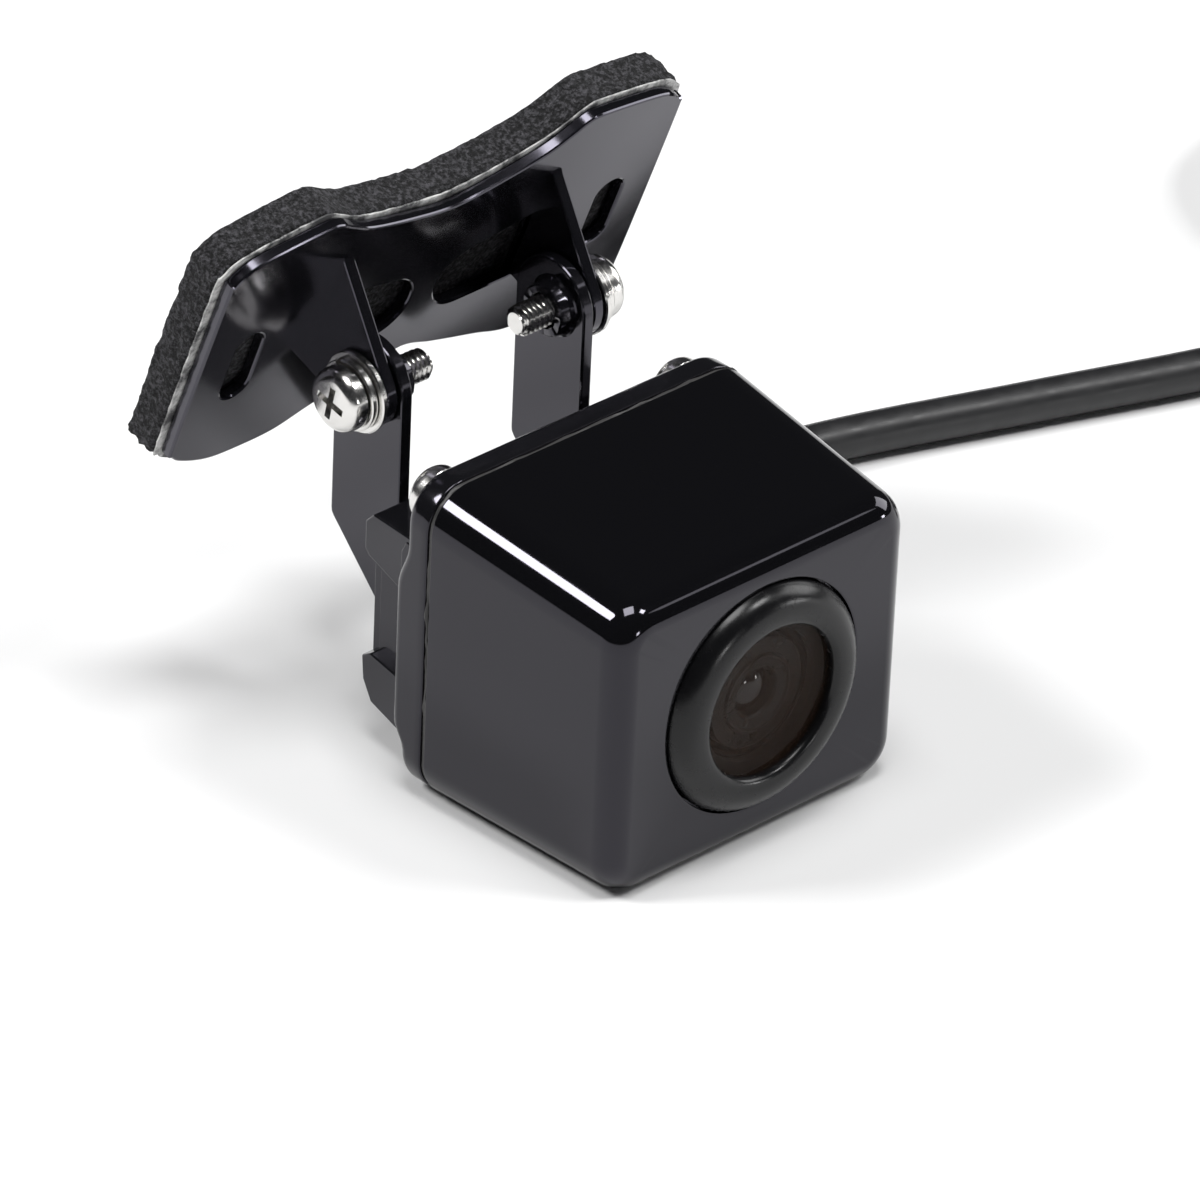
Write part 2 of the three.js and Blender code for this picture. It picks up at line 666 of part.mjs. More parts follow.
const tieX = (hankX[0] + hankX[1]) / 2;
const tieOuter = roundedRectangle(hankY[0] - 1.4, hankY[1] + 1.4, 0.02, hankHeight + 1.4, 1.2);
const tieInner = roundedRectangle(hankY[0] - 0.3, hankY[1] + 0.3, -2, hankHeight + 0.3, 0.4);
lead.add(piece('cable_tie', slabYZ(tieOuter, tieX - 1.5, tieX + 1.5)
  .subtract(slabYZ(tieInner, tieX - 3, tieX + 3)), rubberBlack));

// The tail leaves the hank's top layer at its far end, drops to the floor and turns back beside it.
const spliceX = [122, 146];
const connectorX = [77, 101];
const tailTurnX = 167;
const tailTurnRadius = (0.7 - tailY) / 2;
const tailTurn = [75, 50, 25, 0, -25, -50, -75, -90].map((degrees) => {
  const angle = THREE.MathUtils.degToRad(degrees);
  return [
    tailTurnX + tailTurnRadius * Math.cos(angle),
    tailY + tailTurnRadius * (1 + Math.sin(angle)),
    floorZ + 0.3 * (1 + Math.sin(angle)),
  ];
});
const tailInner = [
  [156.5, 0.7, 7.8],
  [160, 0.7, 5.4],
  [164, 0.7, 3.2],
  ...tailTurn,
  [158, tailY, floorZ + 0.3],
  [spliceX[1] + 0.3, tailY, 3.1],
];
const tailOuter = [
  [spliceX[0] - 0.3, tailY, 3.1],
  [spliceX[0] - 8, tailY, floorZ + 0.8],
  [connectorX[1] + 5, tailY, floorZ + 2.2],
  [connectorX[1] + 0.3, tailY, 4.4],
];
lead.add(
  piece('tail_cable_inner', tube(tailInner, leadRadius, 8, 24), rubberBlack),
  piece('tail_cable_outer', tube(tailOuter, leadRadius, 8, 8), rubberBlack));

const sleeveProfile = [
  [0, spliceX[0]],
  [2.0, spliceX[0]],
  [2.9, spliceX[0] + 1.6],
  [2.9, spliceX[1] - 1.6],
  [2.0, spliceX[1]],
  [0, spliceX[1]],
];
lead.add(piece('splice_sleeve', turnedX(sleeveProfile, tailY, 3.1, 1, 20), rubberBlack));

// Three short wire loops, each with both ends at the sleeve's side, towards the hank.
const jumpers = [
  ['jumper_green', 125.5, 5.4, 2.2, wireGreen],
  ['jumper_blue', 132, 6.0, 4.4, wireBlue],
  ['jumper_white', 138.5, 5.4, 3.2, wireWhite],
];
const jumperRadius = 0.75;
for (const [name, x, reach, rise, surface] of jumpers) {
  const start = tailY + 3.2 + jumperRadius;
  const path = [
    [x, start, 2.6],
    [x - 0.7, start + reach * 0.5, 2.0 + rise * 0.6],
    [x + 1.2, start + reach, 1.0 + rise * 0.5],
    [x + 3.1, start + reach * 0.5, 2.0 + rise * 0.4],
    [x + 2.4, start, 2.6],
  ];
  lead.add(piece(name, tube(path, jumperRadius, 6, 12), surface));
}

// Four-pin plug: ribbed relief, body, key ring and a hollow nose with its pins.
const plugZ = 4.4;
const plugProfile = [
  [0, connectorX[1]],
  [2.3, connectorX[1]],
  [2.6, connectorX[1] - 8],
  [4.0, connectorX[1] - 8.6],
  [4.3, connectorX[1] - 10],
  [4.3, connectorX[0] + 4],
  [4.0, connectorX[0]],
  [0, connectorX[0]],
];
const noseFrom = connectorX[0] - 6.5;
const noseProfile = [
  [2.5, noseFrom],
  [3.1, noseFrom],
  [3.1, connectorX[0] - 0.05],
  [0, connectorX[0] - 0.05],
  [0, connectorX[0] - 1.2],
  [2.5, connectorX[0] - 1.2],
];
lead.add(
  piece('plug_body', turnedX(plugProfile, tailY, plugZ, 1, 20), rubberBlack),
  piece('plug_nose', turnedX(noseProfile, tailY, plugZ, 1, 20), rubberBlack));
for (let i = 0; i < 4; i += 1) {
  const angle = Math.PI / 4 + (i * Math.PI) / 2;
  const pinY = tailY + 1.25 * Math.cos(angle);
  const pinZ = plugZ + 1.25 * Math.sin(angle);
  const profile = rodProfile(0.42, noseFrom + 1.2, connectorX[0] - 1.25);
  lead.add(piece(`plug_pin_${i + 1}`, turnedX(profile, pinY, pinZ, 1, 8), pinBrass));
}

// ---------------------------------------------------------------- assembly

// The origin goes on the floor under the middle of the camera and its bracket, without the lead.
const camera = new THREE.Group();
camera.add(housing, bracket);
const extent = new THREE.Box3().setFromObject(camera);

const group = new THREE.Group();
group.add(camera, lead);
group.position.y = -(extent.min.y + extent.max.y) / 2;

export default group;
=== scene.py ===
# Backup camera on its tilting bracket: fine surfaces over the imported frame.
# Lengths in this file are millimetres, drawn from the housing seam at y = 0, and become metres at the end.
import math

import bmesh
import bpy
from mathutils import Matrix, Vector, noise
from mathutils.geometry import tessellate_polygon


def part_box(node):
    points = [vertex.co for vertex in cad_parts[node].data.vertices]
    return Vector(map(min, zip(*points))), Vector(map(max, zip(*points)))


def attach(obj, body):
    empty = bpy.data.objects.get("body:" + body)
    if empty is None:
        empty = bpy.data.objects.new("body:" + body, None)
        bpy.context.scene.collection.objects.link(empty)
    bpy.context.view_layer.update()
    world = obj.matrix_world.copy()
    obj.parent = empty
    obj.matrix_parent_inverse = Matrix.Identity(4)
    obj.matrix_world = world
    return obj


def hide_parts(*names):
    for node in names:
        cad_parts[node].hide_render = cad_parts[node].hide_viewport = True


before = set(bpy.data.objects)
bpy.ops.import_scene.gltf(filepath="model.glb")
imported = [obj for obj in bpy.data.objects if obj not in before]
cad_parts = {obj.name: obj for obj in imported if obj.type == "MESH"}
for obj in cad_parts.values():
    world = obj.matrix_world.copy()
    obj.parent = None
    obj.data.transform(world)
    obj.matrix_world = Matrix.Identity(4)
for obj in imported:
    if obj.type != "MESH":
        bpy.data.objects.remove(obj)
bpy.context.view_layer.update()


MM = 0.001
SEAM_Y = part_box("front_shell")[1].y / MM

# ------------------------------ sizes shared with the solids
# LYING_Z is the height of the lead's middle where it lies on the floor, and SHEET the steel's thickness.

REAR_HALF = 15.2
REAR_HEIGHT = 25.6
FRONT_HALF = 13.95
FRONT_HEIGHT = 23.5
SHELL_DEPTH = 18.3
LENS_Z = 12.1
HINGE_Y = 12.95
HINGE_Z = 26.4
PLATE_Y = 17.47
PLATE_Z = 29.75
PLATE_TILT = math.radians(20.6)
EXIT_Z = 11.1
LEAD_RADIUS = 1.65
LYING_Z = 1.75
BOOT_END = 12.2
SHEET = 1.0

# ------------------------------ camera


def place(x, y, z):
    """A point in millimetres from the seam, in metres in the row frame."""
    return Vector((x, y + SEAM_Y, z)) * MM


def make_camera(position, aim, roll_degrees, focal):
    camera = bpy.data.objects.new("view_camera", bpy.data.cameras.new("view_camera"))
    bpy.context.scene.collection.objects.link(camera)
    ahead = (place(*aim) - place(*position)).normalized()
    right = ahead.cross(Vector((0, 0, 1))).normalized()
    up = right.cross(ahead)
    roll = math.radians(roll_degrees)
    side = right * math.cos(roll) + up * math.sin(roll)
    top = up * math.cos(roll) - right * math.sin(roll)
    turn = Matrix((side, top, -ahead)).transposed().to_4x4()
    camera.matrix_world = Matrix.Translation(place(*position)) @ turn
    camera.data.lens = focal
    camera.data.sensor_width = 36
    camera.data.clip_start = 0.01
    camera.data.clip_end = 20
    bpy.context.scene.camera = camera


make_camera((-430.04, -445.32, 403.28), (-2.36, -4.0, 13.97), 2.62, 308.8)

# ------------------------------ mesh helpers


def mesh_piece(name, verts, faces, material, sharp=32.0):
    """A smooth mesh object from points in millimetres, creased at edges over sharp degrees."""
    mesh = bpy.data.meshes.new(name)
    mesh.from_pydata([place(*v) for v in verts], [], faces)
    mesh.validate()
    build = bmesh.new()
    build.from_mesh(mesh)
    bmesh.ops.remove_doubles(build, verts=build.verts, dist=1e-7)
    bmesh.ops.recalc_face_normals(build, faces=build.faces)
    build.to_mesh(mesh)
    build.free()
    mesh.polygons.foreach_set("use_smooth", [True] * len(mesh.polygons))
    mesh.set_sharp_from_angle(angle=math.radians(sharp))
    mesh.materials.append(material)
    piece = bpy.data.objects.new(name, mesh)
    bpy.context.scene.collection.objects.link(piece)
    return piece


def settle(piece, body, slot, *nodes):
    """Rides a piece on its body and lets it stand for its nodes."""
    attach(piece, body)
    if nodes:
        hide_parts(*nodes)
    return piece


def loft(rings, closed_ends=(False, False), wrap=False):
    """Joins equal rings of points into a skin."""
    count = len(rings[0])
    verts = [p for ring in rings for p in ring]
    faces = []
    pairs = len(rings) if wrap else len(rings) - 1
    for i in range(pairs):
        a = i * count
        b = ((i + 1) % len(rings)) * count
        for k in range(count):
            n = (k + 1) % count
            faces.append((a + k, a + n, b + n, b + k))
    if closed_ends[0]:
        faces.append(tuple(range(count)))
    if closed_ends[1]:
        last = (len(rings) - 1) * count
        faces.append(tuple(last + k for k in reversed(range(count))))
    return verts, faces


def turned(profile, axis, centre, steps=96, closed=False):
    """A turned skin from (radius, along) points about an axis through centre."""
    rings = []
    for radius, along in profile:
        ring = []
        for k in range(steps):
            angle = 2 * math.pi * k / steps
            a, b = max(radius, 1e-4) * math.cos(angle), max(radius, 1e-4) * math.sin(angle)
            point = (centre[0] + a, centre[1] + along, centre[2] + b)
            if axis == "x":
                point = (centre[0] + along, centre[1] + a, centre[2] + b)
            ring.append(point)
        rings.append(ring)
    return loft(rings, wrap=closed)


def merged(*parts):
    """Several (verts, faces) skins as one."""
    verts, faces = [], []
    for v, f in parts:
        shift = len(verts)
        verts += list(v)
        faces += [tuple(i + shift for i in face) for face in f]
    return verts, faces


def moved(part, function):
    """A skin with each of its points put through a function."""
    return [function(p) for p in part[0]], part[1]


def circle(x, y, radius, steps=40):
    angles = [2 * math.pi * k / steps for k in range(steps)]
    return [(x + radius * math.cos(angle), y + radius * math.sin(angle)) for angle in angles]


def outline_round(points):
    """The convex outline round a set of 2D points."""
    points = sorted(set(points))

    def chain(items):
        kept = []
        for p in items:
            while len(kept) > 1 and (
                (kept[-1][0] - kept[-2][0]) * (p[1] - kept[-2][1])
                - (kept[-1][1] - kept[-2][1]) * (p[0] - kept[-2][0])
            ) <= 1e-9:
                kept.pop()
            kept.append(p)
        return kept[:-1]

    return chain(points) + chain(points[::-1])


def smoothed(points, per_span=6):
    """A closed curve through the points."""
    result = []
    count = len(points)
    for i in range(count):
        p0, p1, p2, p3 = (Vector(points[(i + k - 1) % count]) for k in range(4))
        for s in range(per_span):
            t = s / per_span
            q = 0.5 * (
                2 * p1 + (p2 - p0) * t + (2 * p0 - 5 * p1 + 4 * p2 - p3) * t * t
                + (3 * p1 - p0 - 3 * p2 + p3) * t ** 3
            )
            result.append(tuple(q))
    return result


# ------------------------------ materials


def make_material(name, color, roughness, metallic=0.0, **sockets):
    material = bpy.data.materials.new(name)
    material.use_nodes = True
    shader = material.node_tree.nodes["Principled BSDF"]
    shader.inputs["Base Color"].default_value = (*color, 1)
    shader.inputs["Roughness"].default_value = roughness
    shader.inputs["Metallic"].default_value = metallic
    for key, value in sockets.items():
        shader.inputs[key.replace("_", " ")].default_value = value
    return material


def add(material, kind, **values):
    node = material.node_tree.nodes.new(kind)
    for key, value in values.items():
        if key in node.inputs:
            node.inputs[key].default_value = value
        else:
            setattr(node, key, value)
    return node


def link(material, source, output, target, socket):
    material.node_tree.links.new(source.outputs[output], target.inputs[socket])


def object_noise(material, scale, detail=4.0, roughness=0.6):
    coordinates = add(material, "ShaderNodeTexCoord")
    texture = add(material, "ShaderNodeTexNoise", Scale=scale, Detail=detail, Roughness=roughness)
    link(material, coordinates, "Object", texture, "Vector")
    return texture


def vary_roughness(material, texture, low, high):
    """Roughness between low and high, by the texture."""
    shader = material.node_tree.nodes["Principled BSDF"]
    span = add(material, "ShaderNodeMapRange")
    span.inputs["From Min"].default_value = 0.3
    span.inputs["From Max"].default_value = 0.7
    span.inputs["To Min"].default_value = low
    span.inputs["To Max"].default_value = high
    link(material, texture, 0, span, "Value")
    link(material, span, "Result", shader, "Roughness")


def vary_color(material, texture, dark, light, low=0.35, high=0.65):
    """Base colour from dark to light, where the texture runs from low to high."""
    shader = material.node_tree.nodes["Principled BSDF"]
    ramp = add(material, "ShaderNodeValToRGB")
    ramp.color_ramp.elements[0].position = low
    ramp.color_ramp.elements[0].color = (*dark, 1)
    ramp.color_ramp.elements[1].position = high
    ramp.color_ramp.elements[1].color = (*light, 1)
    link(material, texture, 0, ramp, "Fac")
    link(material, ramp, "Color", shader, "Base Color")


def add_bump(material, texture, strength, distance):
    shader = material.node_tree.nodes["Principled BSDF"]
    bump = add(material, "ShaderNodeBump", Strength=strength, Distance=distance)
    link(material, texture, 0, bump, "Height")
    link(material, bump, "Normal", shader, "Normal")


def finished(name, color, roughness, spread, scale, bump=0.0, distance=0.00002, metallic=0.0, **sockets):
    """A moulded, painted or plated surface: uneven gloss and a fine relief."""
    material = make_material(name, color, roughness, metallic, **sockets)
    texture = object_noise(material, scale)
    vary_roughness(material, texture, max(roughness - spread, 0.02), roughness + spread)
    if bump:
        add_bump(material, texture, bump, distance)
    return material


# The black lacquers mirror the room a little bluer than it is.
MOULDED_TINT = (0.89, 0.86, 1.0, 1)
GLOSS = finished(
    "gloss_shell", (0.003, 0.003, 0.0036), 0.07, 0.03, 160, 0.05, 0.00001, IOR=1.48,
    Specular_Tint=MOULDED_TINT)
COVER = finished(
    "cover_plastic", (0.005, 0.005, 0.006), 0.13, 0.04, 220, 0.08, 0.00001, IOR=1.46,
    Specular_Tint=MOULDED_TINT)
SATIN = finished("satin_plastic", (0.014, 0.014, 0.016), 0.34, 0.06, 900, 0.25, 0.00001)
PAINT = finished(
    "gloss_paint", (0.004, 0.004, 0.005), 0.12, 0.04, 120, 0.10, 0.00003, IOR=1.6,
    Specular_Tint=(0.88, 0.85, 1.0, 1))
PLATE = finished(
    "plate_paint", (0.004, 0.004, 0.005), 0.12, 0.04, 120, 0.10, 0.00003, IOR=1.72,
    Specular_Tint=(0.86, 0.83, 1.0, 1))
NICKEL = finished("nickel_plate", (0.74, 0.73, 0.71), 0.2, 0.07, 1400, 0.12, 0.00001, metallic=1.0)
RUBBER = finished("cable_jacket", (0.013, 0.013, 0.014), 0.42, 0.08, 700, 0.2, 0.00002)
SLEEVE = finished("shrink_sleeve", (0.012, 0.012, 0.013), 0.36, 0.08, 380, 0.5, 0.0001)
BEAD = finished("seam_sealant", (0.035, 0.034, 0.034), 0.5, 0.1, 1200, 0.6, 0.00006)
BEZEL = finished("bezel_satin", (0.005, 0.005, 0.0056), 0.25, 0.04, 1500, 0.06, 0.00001, IOR=1.36)
BARREL = finished("barrel_black", (0.005, 0.004, 0.0035), 0.3, 0.06, 900, 0.05)
BOARD = finished("solder_mask", (0.03, 0.16, 0.07), 0.4, 0.08, 400, 0.2)
CHIP = finished("chip_resin", (0.02, 0.02, 0.022), 0.5, 0.08, 900, 0.3)
BRASS = finished("contact_plate", (0.8, 0.6, 0.3), 0.28, 0.06, 900, 0.1, metallic=1.0)
GREEN = finished("insulation_green", (0.03, 0.22, 0.07), 0.4, 0.05, 600, 0.1)
BLUE = finished("insulation_blue", (0.02, 0.07, 0.38), 0.4, 0.05, 600, 0.1)
WHITE = finished("insulation_white", (0.72, 0.72, 0.68), 0.4, 0.05, 600, 0.1)
TAPE = finished("tape_edge", (0.2, 0.2, 0.2), 0.45, 0.1, 500, 0.4)
vary_color(TAPE, object_noise(TAPE, 420, 6.0, 0.7), (0.05, 0.05, 0.052), (0.6, 0.6, 0.59), 0.42, 0.6)
WINDOW = finished("window_glass", (0.024, 0.014, 0.009), 0.04, 0.01, 90, IOR=1.2, Alpha=0.38)
LENS = finished("lens_coating", (0.012, 0.014, 0.02), 0.06, 0.02, 300, Coat_Weight=1.0, IOR=1.75)
FILTER = finished("filter_glass", (0.35, 0.55, 0.6), 0.04, 0.01, 300, Transmission_Weight=0.8, IOR=1.5)


def make_foam():
    material = make_material("open_cell_foam", (0.03, 0.03, 0.032), 0.95, 0.0)
    coordinates = add(material, "ShaderNodeTexCoord")
    cells = add(material, "ShaderNodeTexVoronoi", Scale=3400.0, Randomness=1.0)
    link(material, coordinates, "Object", cells, "Vector")
    speckle = object_noise(material, 2600, 6.0, 0.75)
    vary_color(material, speckle, (0.002, 0.002, 0.0025), (0.12, 0.117, 0.13), 0.46, 0.76)
    shader = material.node_tree.nodes["Principled BSDF"]
    fine = add(material, "ShaderNodeBump", Strength=0.9, Distance=0.0002)
    link(material, cells, "Distance", fine, "Height")
    coarse = add(material, "ShaderNodeBump", Strength=0.7, Distance=0.0003)
    link(material, speckle, 0, coarse, "Height")
    link(material, fine, "Normal", coarse, "Normal")
    link(material, coarse, "Normal", shader, "Normal")
    return material


FOAM = make_foam()

# ------------------------------ lead

HANK_X = (86.0, 159.9)
HANK_Y = (-0.95, 28.95)
HANK_MID = (HANK_Y[0] + HANK_Y[1]) / 2
LANES = {"outer": 13.3, "inner": 10.0}
LAYERS = (LYING_Z, LYING_Z + 3.36, LYING_Z + 6.72)
TAIL_Y = -13.0
SPLICE_X = (122.0, 146.0)
SPLICE_Z = 3.1
PLUG_X = (77.0, 101.0)
PLUG_Z = 4.4
PLUG_RADIUS = 4.3
PLUG_WAIST = 4.05
JUMPER_RADIUS = 0.75


def hank_points():
    """The folded turns: out along the near side, round the far end, back, and round the near end."""
    turn_reach = LANES["outer"] + LEAD_RADIUS
    near_x = HANK_X[0] + turn_reach
    far_x = HANK_X[1] - turn_reach
    turns = [("outer", 0), ("inner", 0), ("inner", 1), ("outer", 1), ("inner", 2), ("outer", 2)]
    points = []
    for i, (lane, layer) in enumerate(turns):
        radius, z = LANES[lane], LAYERS[layer]
        for s in range(8):
            points.append((near_x + (far_x - near_x) * s / 8, HANK_MID - radius, z))
        if i == len(turns) - 1:
            break
        for s in range(14):
            angle = -math.pi / 2 + math.pi * s / 14
            points.append((far_x + radius * math.cos(angle), HANK_MID + radius * math.sin(angle), z))
        for s in range(8):
            points.append((far_x + (near_x - far_x) * s / 8, HANK_MID + radius, z))
        next_radius, next_z = LANES[turns[i + 1][0]], LAYERS[turns[i + 1][1]]
        for s in range(14):
            t = s / 14
            blend = t * t * (3 - 2 * t)
            angle = math.pi / 2 + math.pi * t
            r = radius + (next_radius - radius) * blend
            points.append((
                near_x + r * math.cos(angle), HANK_MID + r * math.sin(angle), z + (next_z - z) * blend))
    points.append((far_x, HANK_MID - LANES["outer"], LAYERS[2]))
    return points


def lead_points():
    """The lead's way: out of the boot, down, round the hank and back to the plug."""
    bend = 7.6
    points = [(0, 9.0, EXIT_Z), (0, BOOT_END, EXIT_Z)]
    for degrees in range(15, 91, 15):
        angle = math.radians(degrees)
        aside = bend * (1 - math.cos(angle)) * math.sqrt(0.5)
        points.append((aside, BOOT_END + bend * math.sin(angle), EXIT_Z - aside))
    points += [
        (7.0, BOOT_END + bend, 4.1), (9.7, BOOT_END + bend - 0.1, 2.35),
        (13.2, BOOT_END + bend - 0.4, LYING_Z), (23, 18.4, LYING_Z), (38, 15.6, LYING_Z),
        (55, 9.8, LYING_Z), (71, 4.2, LYING_Z), (83, 1.3, LYING_Z), (91, 0.7, LYING_Z),
    ]
    points += hank_points()[1:]
    points += [(150.5, 0.7, 8.35), (156.5, 0.7, 7.6), (160, 0.7, 5.4), (164, 0.7, 3.2)]
    turn_x = 167.0
    radius = (0.7 - TAIL_Y) / 2
    for degrees in (75, 50, 25, 0, -25, -50, -75, -90):
        angle = math.radians(degrees)
        points.append((
            turn_x + radius * math.cos(angle), TAIL_Y + radius * (1 + math.sin(angle)),
            LYING_Z + 0.3 * (1 + math.sin(angle))))
    points += [
        (158, TAIL_Y, LYING_Z + 0.3), (SPLICE_X[1], TAIL_Y, SPLICE_Z), (SPLICE_X[0], TAIL_Y, SPLICE_Z),
        (SPLICE_X[0] - 8, TAIL_Y, LYING_Z + 0.8), (PLUG_X[1] + 5, TAIL_Y, LYING_Z + 2.2),
        (PLUG_X[1] - 2, TAIL_Y, PLUG_Z),
    ]
    return points


def spaced(points, gap):
    """A smooth line through the points, sampled about every gap millimetres."""
    line = []
    for i in range(len(points) - 1):
        p0 = Vector(points[max(i - 1, 0)])
        p1, p2 = Vector(points[i]), Vector(points[i + 1])
        p3 = Vector(points[min(i + 2, len(points) - 1)])
        length = (p2 - p1).length
        d1 = (p2 - p0) * (length / max((p2 - p1).length + (p1 - p0).length, 1e-6))
        d2 = (p3 - p1) * (length / max((p3 - p2).length + (p2 - p1).length, 1e-6))
        steps = max(int(length / gap), 1)
        for s in range(steps):
            t = s / steps
            line.append(
                p1 * (2 * t ** 3 - 3 * t * t + 1) + d1 * (t ** 3 - 2 * t * t + t)
                + p2 * (3 * t * t - 2 * t ** 3) + d2 * (t ** 3 - t * t))
    line.append(Vector(points[-1]))
    return line


def tube_curve(name, line, radius, material):
    data = bpy.data.curves.new(name, "CURVE")
    data.dimensions = "3D"
    data.bevel_depth = radius * MM
    data.bevel_resolution = 5
    data.use_fill_caps = True
    spline = data.splines.new("POLY")
    spline.points.add(len(line) - 1)
    for point, co in zip(spline.points, line):
        point.co = (*place(*co), 1)
    data.materials.append(material)
    curve = bpy.data.objects.new(name, data)
    bpy.context.scene.collection.objects.link(curve)
    return curve


lead_line = spaced(lead_points(), 1.1)
lead = tube_curve("lead", lead_line, LEAD_RADIUS, RUBBER)
settle(lead, "camera", "rubber_black", "lead_cable", "cable_hank", "tail_cable_inner", "tail_cable_outer")


def shrink_sleeve():
    """The sleeve over the splice, a little lumpy and drawn in at its ends."""
    rings = []
    steps, stations = 40, 49
    for i in range(stations):
        t = i / (stations - 1)
        x = SPLICE_X[0] + (SPLICE_X[1] - SPLICE_X[0]) * t
        end = min(t, 1 - t)
        radius = 1.78 + 1.1 * min(end / 0.10, 1.0) ** 0.6
        ring = []
        for k in range(steps):
            angle = 2 * math.pi * k / steps
            lump = 0.12 * noise.noise(Vector((x * 0.35, math.cos(angle) * 1.3, math.sin(angle) * 1.3)))
            r = radius + lump * min(end / 0.1, 1.0)
            ring.append((x, TAIL_Y + r * math.cos(angle), SPLICE_Z + r * math.sin(angle)))
        rings.append(ring)
    return mesh_piece("splice", *loft(rings, (True, True)), SLEEVE, 40)


splice = settle(shrink_sleeve(), "camera", "rubber_black", "splice_sleeve")

lead_pieces = [splice]
# Each jumper's colour, its place along the sleeve, its reach, how high it arches and its material.
JUMPERS = (
    ("green", 125.5, 5.4, 2.2, GREEN), ("blue", 132.0, 6.0, 4.4, BLUE), ("white", 138.5, 5.4, 3.2, WHITE))
for color, x, reach, rise, insulation in JUMPERS:
    start = TAIL_Y + 3.95
    path = [
        (x, start - 2.2, 2.9), (x, start, 2.6), (x - 0.7, start + reach * 0.5, 2.0 + rise * 0.6),
        (x + 1.2, start + reach, 1.0 + rise * 0.5), (x + 3.1, start + reach * 0.5, 2.0 + rise * 0.4),
        (x + 2.4, start, 2.6), (x + 2.4, start - 2.2, 2.9),
    ]
    rings = []
    line = spaced(path, 0.4)
    for i, p in enumerate(line):
        ahead = (line[min(i + 1, len(line) - 1)] - line[max(i - 1, 0)]).normalized()
        side = ahead.cross(Vector((0, 0, 1))).normalized()
        up = side.cross(ahead)
        rings.append([
            tuple(p + (side * math.cos(a) + up * math.sin(a)) * JUMPER_RADIUS)
            for a in (2 * math.pi * k / 16 for k in range(16))])
    loop = mesh_piece(f"jumper_loop_{color}", *loft(rings, (True, True)), insulation, 40)
    lead_pieces.append(settle(loop, "camera", f"wire_{color}", f"jumper_{color}"))


def plug_skin():
    """The plug: a ribbed relief, a waisted grip with ridges, and a shoulder."""
    profile = [(1.75, PLUG_X[1])]
    for i in range(4):
        x = PLUG_X[1] - 0.5 - 1.9 * i
        grow = 0.12 * i
        profile += [
            (2.15 + grow, x), (2.35 + grow, x - 0.15), (2.35 + grow, x - 0.95), (2.15 + grow, x - 1.1),
            (1.95 + grow, x - 1.2), (1.95 + grow, x - 1.75)]
    profile += [
        (3.6, PLUG_X[1] - 8.4), (4.15, PLUG_X[1] - 8.9), (PLUG_RADIUS, PLUG_X[1] - 9.6),
        (PLUG_RADIUS, PLUG_X[1] - 12.2), (PLUG_WAIST, PLUG_X[1] - 12.5), (PLUG_WAIST, PLUG_X[1] - 13.1),
        (PLUG_RADIUS, PLUG_X[1] - 13.4), (PLUG_RADIUS, PLUG_X[1] - 14.6),
        (PLUG_WAIST, PLUG_X[1] - 14.9), (PLUG_WAIST, PLUG_X[1] - 15.5),
        (PLUG_RADIUS, PLUG_X[1] - 15.8), (PLUG_RADIUS, PLUG_X[0] + 2.0), (4.2, PLUG_X[0] + 0.6),
        (3.9, PLUG_X[0] + 0.1), (3.3, PLUG_X[0]), (0, PLUG_X[0])]
    return turned(profile, "x", (0, TAIL_Y, PLUG_Z), 56)


def nose_skin():
    """The plug's hollow nose."""
    tip = PLUG_X[0] - 6.5
    profile = [
        (0, PLUG_X[0] - 1.2), (2.45, PLUG_X[0] - 1.2), (2.5, PLUG_X[0] - 1.4), (2.5, tip + 0.15), (2.6, tip),
        (3.0, tip), (3.1, tip + 0.15), (3.1, PLUG_X[0] - 2.2), (3.25, PLUG_X[0] - 2.0),
        (3.25, PLUG_X[0] + 0.02)]
    return turned(profile, "x", (0, TAIL_Y, PLUG_Z), 56)


plug = settle(mesh_piece("plug_grip", *plug_skin(), RUBBER, 35), "camera", "rubber_black", "plug_body")
nose = settle(mesh_piece("plug_collar", *nose_skin(), SATIN, 35), "camera", "rubber_black", "plug_nose")
lead_pieces += [plug, nose]
for i in range(4):
    low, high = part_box(f"plug_pin_{i + 1}")
    y, z = (low.y + high.y) / 2 / MM - SEAM_Y, (low.z + high.z) / 2 / MM
    profile = [
        (0, low.x / MM), (0.25, low.x / MM + 0.05), (0.42, low.x / MM + 0.4), (0.42, high.x / MM),
        (0, high.x / MM)]
    pin = mesh_piece(f"contact_pin_{i + 1}", *turned(profile, "x", (0, y, z), 20), BRASS, 35)
    lead_pieces.append(settle(pin, "camera", "pin_brass", f"plug_pin_{i + 1}"))


